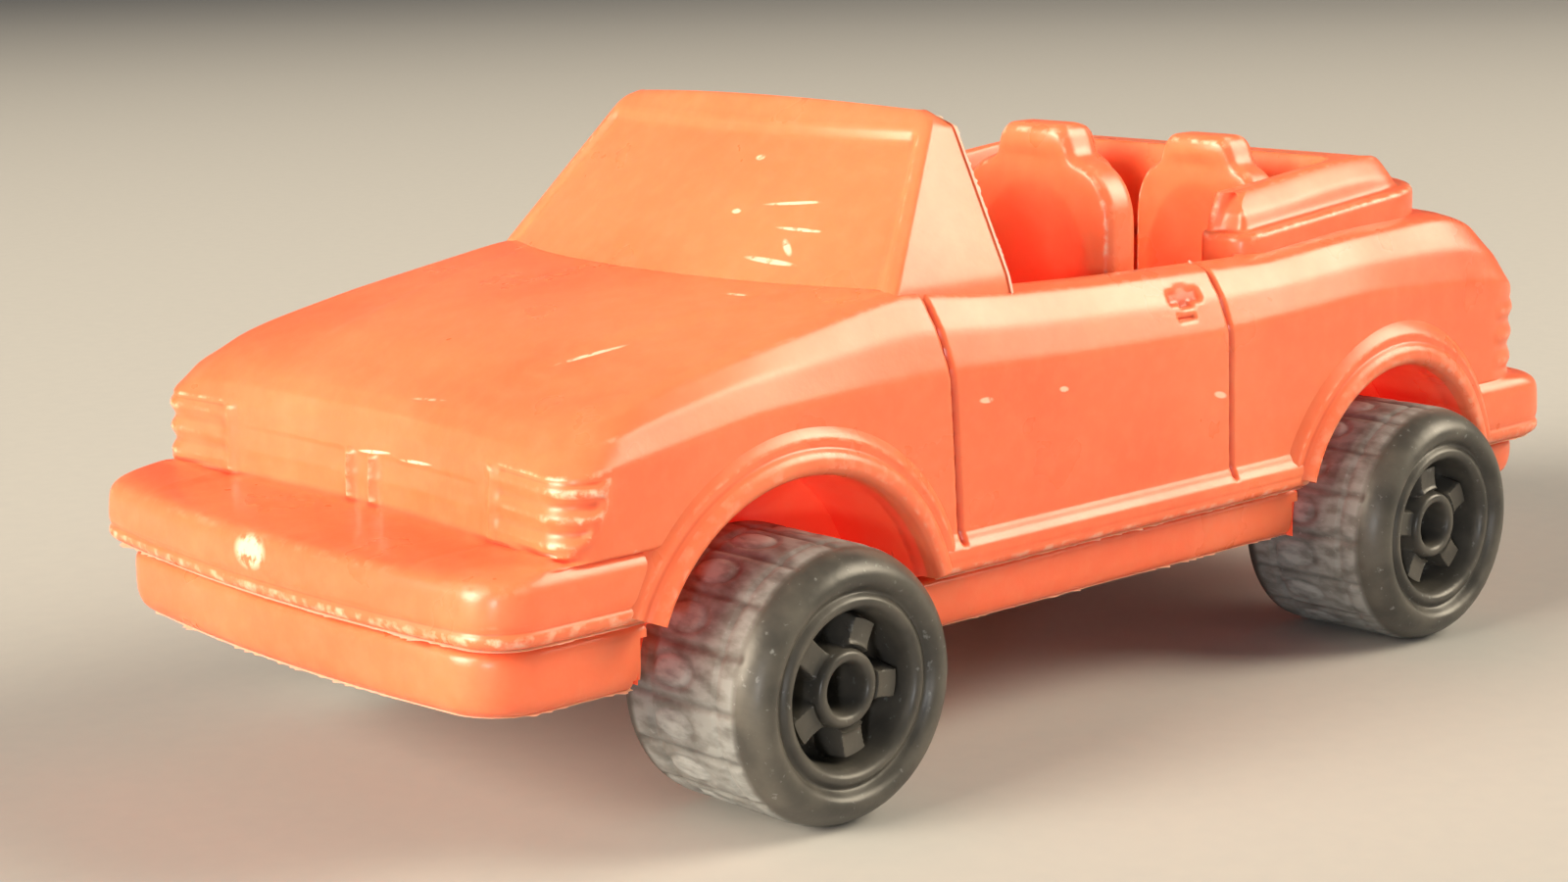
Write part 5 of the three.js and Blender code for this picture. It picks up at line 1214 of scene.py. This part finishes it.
class ToyConvertibleLook(bpy.types.PropertyGroup):
    body_colour: colour_setting("Body", "Red plastic", "#FC8259")
    body_deep: colour_setting("Body, deeper", "Red plastic where the pigment is denser", "#F87049")
    body_pale: colour_setting("Body, paler", "Clouds in the red plastic", "#FFA07A")
    body_white: colour_setting("Body, whitened", "Red plastic where it is scratched or torn", "#FFE3CC")
    # Painted shade: the darker red laid into grooves, shut lines and handle recesses.
    body_groove_shade: colour_setting("Body, dirty", "Dirt in the grooves of the red plastic", "#C23A24")
    wheel_colour: colour_setting("Wheels", "Black plastic", "#403F3C")
    wheel_handled: colour_setting("Wheels, handled", "Black plastic where it is handled", "#5A5751")
    tread_colour: colour_setting("Tread", "Black plastic where it is rubbed", "#A8ADAE")
    pin_colour: colour_setting("Pins", "Steel of the axle pins", "#C3C5C8")
    # Painted glow: colour and share of the red emission on the wheel wells and seat hollows.
    painted_glow_colour: colour_setting("Wells", "Light that comes through the walls of the wheel wells", "#FF1814")
    painted_glow_share: share_setting("Wells, light", "How much light comes through the wheel wells", 0.3)
    scuffs: share_setting("Scuffs", "How white the scratches and worn edges are", 0.75)
    glow: share_setting("Glow", "Share of light that soaks into the red plastic", 0.3)


class ToyConvertibleStage(bpy.types.PropertyGroup):
    azimuth: angle_setting("Azimuth", "Camera direction round the car, from the nose", 47.74)
    elevation: angle_setting("Elevation", "Camera height above the horizon", 11.35)
    roll: angle_setting("Roll", "Camera roll", -1.01)
    distance: length_setting("Distance", "From the camera to its target", 216.6)
    target: FloatVectorProperty(name="Target", description="Point in the middle of the picture", size=3,
                                default=(0.01125, 0.0, 0.01874), subtype="XYZ", unit="LENGTH")
    lens: FloatProperty(name="Lens", description="Focal length on a 36 mm sensor", default=66.08,
                        unit="CAMERA")
    floor: length_setting("Floor", "Side of the floor", 6000.0)
    sky: share_setting("Sky", "Brightness of the even light all round", 0.13)


class TOYCAR_OT_body(bpy.types.Operator):
    """Builds the body skin, the wheel arches, the windscreen and the folded hood"""
    bl_idname = "toycar.body"
    bl_label = "Body"
    bl_options = {"REGISTER", "UNDO"}

    def execute(self, context):
        sizes = context.scene.toy_convertible_sizes
        red = material("moulded_polyethylene_red", context.scene)
        pieces = (
            ("body_skin", body_skin_patches(sizes.shut_line / MM, sizes.flash / MM)),
            ("arches_front", arch_patches("front")),
            ("arches_rear", arch_patches("rear")),
            ("windscreen", windscreen_patches(sizes.glass / MM, sizes.flash / MM)),
            ("folded_hood", hood_patches()),
        )
        for name, patches in pieces:
            add_piece(name, patches, red, "car", "body_shell")
        return {"FINISHED"}


class TOYCAR_OT_seats(bpy.types.Operator):
    """Builds the cockpit pan and the four seats"""
    bl_idname = "toycar.seats"
    bl_label = "Seats"
    bl_options = {"REGISTER", "UNDO"}

    def execute(self, context):
        red = material("moulded_polyethylene_red", context.scene)
        add_piece("cockpit_pan", pan_patches(), red, "car", "seat_tub")
        for row, x, y, width, shoulder, top, length in SEATS:
            for hand, side in HANDS:
                patches = [seat_patch(x, side * y, width, shoulder, top),
                           cushion_patch(x - CUSHION_TUCK, side * y, width, length)]
                add_piece(f"seat_{row}_{hand}", patches, red, "car", "seat_tub")
        return {"FINISHED"}


class TOYCAR_OT_chassis(bpy.types.Operator):
    """Builds the lower tray with its axle clips"""
    bl_idname = "toycar.chassis"
    bl_label = "Chassis"
    bl_options = {"REGISTER", "UNDO"}

    def execute(self, context):
        red = material("moulded_polyethylene_red", context.scene)
        flash = context.scene.toy_convertible_sizes.flash / MM
        add_piece("lower_tray", tray_patches(flash), red, "car", "chassis")
        return {"FINISHED"}


class TOYCAR_OT_wheels(bpy.types.Operator):
    """Builds the four wheels and gives the axle pins their metal"""
    bl_idname = "toycar.wheels"
    bl_label = "Wheels"
    bl_options = {"REGISTER", "UNDO"}

    def execute(self, context):
        black = material("moulded_plastic_black", context.scene)
        steel = material("drawn_steel", context.scene)
        tread = context.scene.toy_convertible_sizes.tread / MM
        for end in ENDS:
            for hand, side in HANDS:
                add_piece(f"tyre_{end}_{hand}", wheel_patches(end, side, tread), black, f"{end}_wheels",
                          f"wheel_{end}_{hand}")
            pin = frame["nodes"][f"{end}_axle"]
            pin.data.materials.clear()
            pin.data.materials.append(steel)
        return {"FINISHED"}


# Soft lights: direction from the car, distance in metres, side in metres, power in watts, colour.
LIGHTS = (
    ("window_softbox", (-0.68, 0.50, 0.53), 2.2, 1.55, 10.0, "#FFEFD2"),
    ("front_softbox", (0.91, -0.20, 0.36), 2.2, 1.50, 17.0, "#FFEDD2"),
    ("camera_softbox", (0.80, 0.57, 0.08), 2.2, 0.20, 0.7, "#FFFFFF"),
)
LIGHT_SPREAD = math.radians(50)
LIGHT_TARGET = np.array([0.0, 0.0, 0.02])
SKY_COLOUR = "#F2F3F4"
CLIP_NEAR, CLIP_FAR = 0.01, 20.0
SENSOR_WIDTH = 36.0


class TOYCAR_OT_stage(bpy.types.Operator):
    """Sets up the floor, the lights and the camera"""
    bl_idname = "toycar.stage"
    bl_label = "Stage"
    bl_options = {"REGISTER", "UNDO"}

    def execute(self, context):
        scene = context.scene
        stage = scene.toy_convertible_stage
        self.add_floor(scene, stage.floor / 2)
        for name, direction, distance, size, power, colour in LIGHTS:
            data = bpy.data.lights.new(name, "AREA")
            data.size, data.energy, data.color = size, power, linear(colour)
            data.spread = LIGHT_SPREAD
            back = np.array(direction) / np.linalg.norm(direction)
            self.place(scene, data, LIGHT_TARGET + distance * back, back, 0.0)
        self.add_sky(scene, stage.sky)
        data = bpy.data.cameras.new("photo_camera")
        data.sensor_fit, data.sensor_width, data.lens = "HORIZONTAL", SENSOR_WIDTH, stage.lens
        data.clip_start, data.clip_end = CLIP_NEAR, CLIP_FAR
        level = math.cos(stage.elevation)
        back = np.array([level * math.cos(stage.azimuth), level * math.sin(stage.azimuth),
                         math.sin(stage.elevation)])
        target = np.array(stage.target)
        scene.camera = self.place(scene, data, target + stage.distance * back, back, stage.roll)
        scene.view_settings.view_transform = "Standard"
        return {"FINISHED"}

    def add_floor(self, scene, half):
        """A square of paper on the ground."""
        mesh = bpy.data.meshes.new("studio_floor")
        corners = [(-half, -half, 0), (half, -half, 0), (half, half, 0), (-half, half, 0)]
        mesh.from_pydata(corners, [], [(0, 1, 2, 3)])
        mesh.materials.append(material("studio_floor_paper", scene))
        floor = bpy.data.objects.new("studio_floor", mesh)
        scene.collection.objects.link(floor)

    def add_sky(self, scene, strength):
        """Even light from all round."""
        world = bpy.data.worlds.new("studio_sky")
        world.use_nodes = True
        sky = world.node_tree.nodes["Background"].inputs
        sky["Color"].default_value = (*linear(SKY_COLOUR), 1.0)
        sky["Strength"].default_value = strength
        scene.world = world

    def place(self, scene, data, spot, back, roll):
        """A camera or light at a spot, with its back along a unit vector and rolled about it."""
        right = np.cross([0.0, 0.0, 1.0], back)
        right /= np.linalg.norm(right)
        up = np.cross(back, right)
        matrix = np.eye(4)
        matrix[:3, 0] = math.cos(roll) * right + math.sin(roll) * up
        matrix[:3, 1] = math.cos(roll) * up - math.sin(roll) * right
        matrix[:3, 2], matrix[:3, 3] = back, spot
        item = bpy.data.objects.new(data.name, data)
        scene.collection.objects.link(item)
        item.matrix_world = Matrix(matrix.tolist())
        return item


class TOYCAR_PT_panel(bpy.types.Panel):
    """Lists the settings and the pieces"""
    bl_idname = "TOYCAR_PT_panel"
    bl_label = "Toy convertible"
    bl_space_type = "VIEW_3D"
    bl_region_type = "UI"
    bl_category = "Toy convertible"

    def draw(self, context):
        scene = context.scene
        groups = (scene.toy_convertible_sizes, scene.toy_convertible_look, scene.toy_convertible_stage)
        for group in groups:
            for name in group.__annotations__:
                self.layout.prop(group, name)
        for operator in OPERATORS:
            self.layout.operator(operator.bl_idname)


OPERATORS = (TOYCAR_OT_body, TOYCAR_OT_seats, TOYCAR_OT_chassis, TOYCAR_OT_wheels, TOYCAR_OT_stage)
GROUPS = (ToyConvertibleSizes, ToyConvertibleLook, ToyConvertibleStage)
CLASSES = GROUPS + OPERATORS + (TOYCAR_PT_panel,)


def register():
    for cls in CLASSES:
        bpy.utils.register_class(cls)
    bpy.types.Scene.toy_convertible_sizes = PointerProperty(type=ToyConvertibleSizes)
    bpy.types.Scene.toy_convertible_look = PointerProperty(type=ToyConvertibleLook)
    bpy.types.Scene.toy_convertible_stage = PointerProperty(type=ToyConvertibleStage)


def unregister():
    del bpy.types.Scene.toy_convertible_stage
    del bpy.types.Scene.toy_convertible_look
    del bpy.types.Scene.toy_convertible_sizes
    for cls in reversed(CLASSES):
        bpy.utils.unregister_class(cls)


def main():
    register()
    bpy.ops.toycar.body()
    bpy.ops.toycar.seats()
    bpy.ops.toycar.chassis()
    bpy.ops.toycar.wheels()
    bpy.ops.toycar.stage()


if __name__ == "__main__":
    main()
